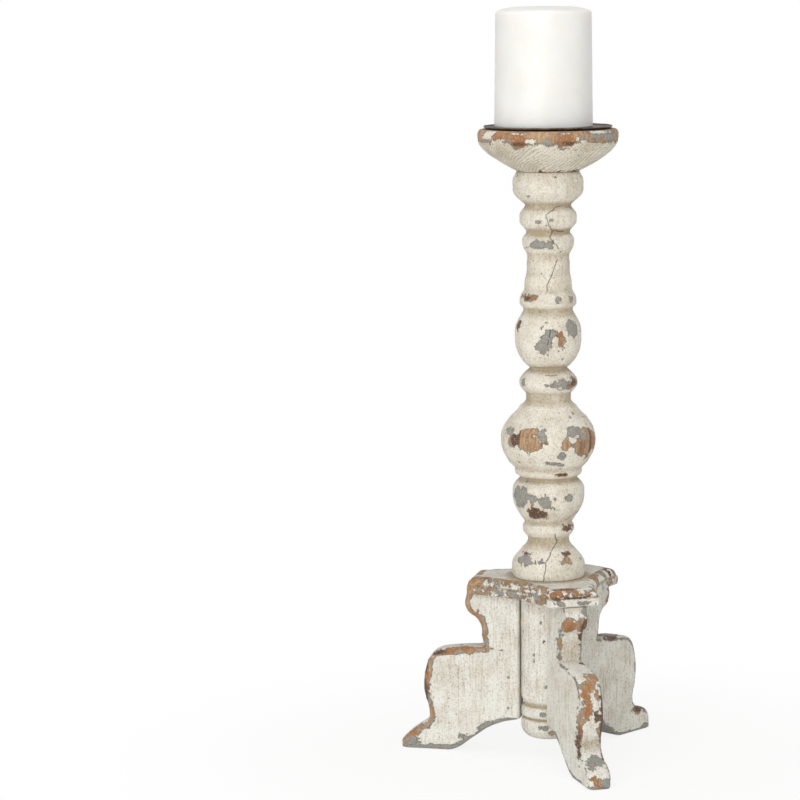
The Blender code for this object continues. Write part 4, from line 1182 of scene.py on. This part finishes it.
def wickPiece():
    # A round cord whose radius swells and sinks as a cosine of bearing plus twist, once a strand.
    look = wickLook
    low, high = nodeBox("candle_wick")
    centre, radius = (low[:2] + high[:2]) / 2.0, (high[0] - low[0]) / 2.0
    turn = (np.arange(look["columns"]) * 2.0 * np.pi / look["columns"])[None, :]
    z = np.linspace(high[2], low[2], look["rows"])[:, None]
    swell = np.cos(look["strands"] * turn + 2.0 * np.pi * z / look["lay"])
    share = np.sqrt(np.clip(np.minimum(high[2] - z, z - low[2]) / 0.4, 0.0, 1.0))
    r = radius * (0.88 + 0.1 * swell) * share
    points = np.stack([centre[0] + r * np.cos(turn), centre[1] + r * np.sin(turn), z + 0.0 * turn], -1)
    piece = gridMesh("candle_wick_cord", points, {"strand": swell * 0.5 + 0.5})
    settle(piece, "candle", ("candle_wick",), waxedCotton())


wickPiece()

hardwareLook = {"beech": "#D2A877", "beechRay": "#B88A5A", "zinc": "#B9BCC0", "zincDull": "#8F9296"}


def turnedBeech():
    # Beech rod, turned and left bare: even pinkish tan with short darker rays along it.
    material, tree, shader = newMaterial("beech, turned")
    place = addNode(tree, "TexCoord").outputs["Object"]
    mapped = addNode(tree, "Mapping", {"Vector": place, "Scale": (900.0, 900.0, 160.0)})
    ray = addNode(tree, "TexNoise", {"Vector": mapped.outputs[0], "Scale": 1.0, "Detail": 4.0})
    share = addNode(tree, "MapRange", {"Value": ray.outputs["Fac"], "From Min": 0.4, "From Max": 0.65})
    colour = addNode(tree, "Mix", {0: share.outputs["Result"], 6: linearColour(hardwareLook["beech"]),
                                   7: linearColour(hardwareLook["beechRay"])}, data_type="RGBA")
    tree.links.new(colour.outputs[2], shader.inputs["Base Color"])
    shader.inputs["Roughness"].default_value = 0.62
    bump = addNode(tree, "Bump", {"Height": ray.outputs["Fac"], "Distance": 0.0001, "Strength": 0.4})
    tree.links.new(bump.outputs[0], shader.inputs["Normal"])
    return material


def zincPlatedSteel():
    # Drawn steel with a bright zinc coat: pale grey metal with cloudy, duller patches.
    material, tree, shader = newMaterial("steel, zinc plated")
    place = addNode(tree, "TexCoord").outputs["Object"]
    cloud = addNode(tree, "TexNoise", {"Vector": place, "Scale": 420.0, "Detail": 4.0})
    colour = addNode(tree, "Mix", {0: cloud.outputs["Fac"], 6: linearColour(hardwareLook["zinc"]),
                                   7: linearColour(hardwareLook["zincDull"])}, data_type="RGBA")
    tree.links.new(colour.outputs[2], shader.inputs["Base Color"])
    rough = addNode(tree, "MapRange", {"Value": cloud.outputs["Fac"], "To Min": 0.28, "To Max": 0.5})
    tree.links.new(rough.outputs["Result"], shader.inputs["Roughness"])
    shader.inputs["Metallic"].default_value = 1.0
    return material


beech, zinc = turnedBeech(), zincPlatedSteel()
replaced = {"stem", "dish", "centre_post", "platform", "drip_pan", "candle", "candle_wick",
            "leg_front", "leg_right", "leg_left"}
for nodeName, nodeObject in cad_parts.items():
    if nodeName in replaced:
        continue
    finish = beech if "dowel" in nodeName else zinc
    for place in nodeObject.material_slots:
        place.material = finish
print("finished the dowels and fasteners")

studioLook = {
    "turn": 19.3,               # degrees the camera stands left of the front
    "distance": 2300.0, "height": 600.0, "yaw": 2.9149, "pitch": 7.7852, "roll": -0.4913, "lens": 132.305,
    "floor": "#F2F1EE", "floorShadow": 0.15,    # share of its shading that the floor shows the camera
    "shadowReach": (0.10, 0.42),                # metres from the middle over which that share fades to none
    "softbox": 43.5, "fill": 6.6, "above": 9.0, "ambient": 0.48,      # watts, and the room's strength
}


def placeCamera():
    # Looks along its own yaw and pitch from a point in front and to the left of the stem axis.
    look = studioLook
    turn, yaw, pitch, roll = (math.radians(look[key]) for key in ("turn", "yaw", "pitch", "roll"))
    ahead, right = Vector((math.sin(turn), math.cos(turn), 0.0)), Vector((math.cos(turn), -math.sin(turn),
        0.0))
    up = Vector((0.0, 0.0, 1.0))
    forward = (-math.sin(yaw) * right + math.cos(yaw) * ahead) * math.cos(pitch) - math.sin(pitch) * up
    side = math.cos(yaw) * right + math.sin(yaw) * ahead
    over = side.cross(forward)
    side, over = math.cos(roll) * side + math.sin(roll) * over, math.cos(roll) * over - math.sin(roll) * side
    data = bpy.data.cameras.new("camera")
    data.lens, data.sensor_width = look["lens"], 36.0
    data.clip_start, data.clip_end = 0.05, 50.0
    camera = bpy.data.objects.new("camera", data)
    bpy.context.scene.collection.objects.link(camera)
    spot = Vector((stemAxis[0] * mm, stemAxis[1] * mm, look["height"] * mm)) - ahead * look["distance"] * mm
    camera.matrix_world = Matrix.Translation(spot) @ Matrix((side, over, -forward)).transposed().to_4x4()
    bpy.context.scene.camera = camera


def softLamp(name, spot, target, size, power):
    data = bpy.data.lights.new(name, "AREA")
    data.shape, data.size, data.size_y, data.energy = "RECTANGLE", size[0], size[1], power
    lamp = bpy.data.objects.new(name, data)
    bpy.context.scene.collection.objects.link(lamp)
    aim = (Vector(target) - Vector(spot)).to_track_quat("-Z", "Y").to_matrix().to_4x4()
    lamp.matrix_world = Matrix.Translation(Vector(spot)) @ aim


def seenDirectly(tree):
    # 1 for rays from the camera and for those that mirror or glass send on
    path = addNode(tree, "LightPath")
    seen = addNode(tree, "Math", {0: path.outputs["Is Camera Ray"], 1: path.outputs["Is Glossy Ray"]},
        operation="MAXIMUM")
    return addNode(tree, "Math", {0: seen.outputs[0], 1: path.outputs["Is Transmission Ray"]},
                   operation="MAXIMUM").outputs[0]


def layFloor():
    # A pale disc. Most of what the camera sees of it is plain white, and the rest its own shading.
    look = studioLook
    turn = np.linspace(0.0, 2.0 * np.pi, 96, endpoint=False)
    rim = np.stack([3.0 * np.cos(turn), 3.0 * np.sin(turn), np.full(96, -0.0002)], -1)
    mesh = bpy.data.meshes.new("floor")
    mesh.from_pydata(rim.tolist(), [], [list(range(96))])
    floor = bpy.data.objects.new("floor", mesh)
    bpy.context.scene.collection.objects.link(floor)
    material, tree, shader = newMaterial("matt paper backdrop")
    shader.inputs["Base Color"].default_value = linearColour(look["floor"])
    shader.inputs["Roughness"].default_value = 0.9
    shader.inputs["Specular IOR Level"].default_value = 0.0
    place = addNode(tree, "TexCoord").outputs["Object"]
    out = addNode(tree, "VectorMath", {0: place}, operation="LENGTH")
    plain = addNode(tree, "MapRange", {"Value": out.outputs["Value"], "From Min": look["shadowReach"][0],
                                       "From Max": look["shadowReach"][1],
                                       "To Min": 1.0 - look["floorShadow"],
                                       "To Max": 1.0}, interpolation_type="SMOOTHSTEP")
    share = addNode(tree, "Math", {0: seenDirectly(tree), 1: plain.outputs["Result"]}, operation="MULTIPLY")
    white = addNode(tree, "Emission", {"Color": (1.0, 1.0, 1.0, 1.0), "Strength": 1.0})
    mix = addNode(tree, "MixShader", {0: share.outputs[0], 1: shader.outputs[0], 2: white.outputs[0]})
    tree.links.new(mix.outputs[0], tree.nodes["Material Output"].inputs["Surface"])
    mesh.materials.append(material)


def lightStudio():
    # A broad softbox in front and to the left, a weak one from the right, and an even white room.
    look = studioLook
    softLamp("softbox", (-1.45, -2.0, 0.85), (0.0, 0.02, 0.2), (1.7, 1.9), look["softbox"])
    softLamp("fill panel", (1.9, -1.1, 0.9), (0.0, 0.02, 0.30), (1.2, 1.6), look["fill"])
    softLamp("top panel", (-0.2, -0.3, 2.1), (0.0, 0.02, 0.2), (1.4, 1.4), look["above"])
    world = bpy.data.worlds.new("white room")
    bpy.context.scene.world = world
    world.use_nodes = True
    tree = world.node_tree
    background = tree.nodes["Background"]
    background.inputs["Color"].default_value = (1.0, 1.0, 1.0, 1.0)
    strength = addNode(tree, "MapRange",
        {"Value": seenDirectly(tree), "To Min": look["ambient"], "To Max": 1.0})
    tree.links.new(strength.outputs["Result"], background.inputs["Strength"])


placeCamera()
layFloor()
lightStudio()
bpy.context.scene.view_settings.view_transform = "Standard"
print("placed the camera, the floor and the lights")
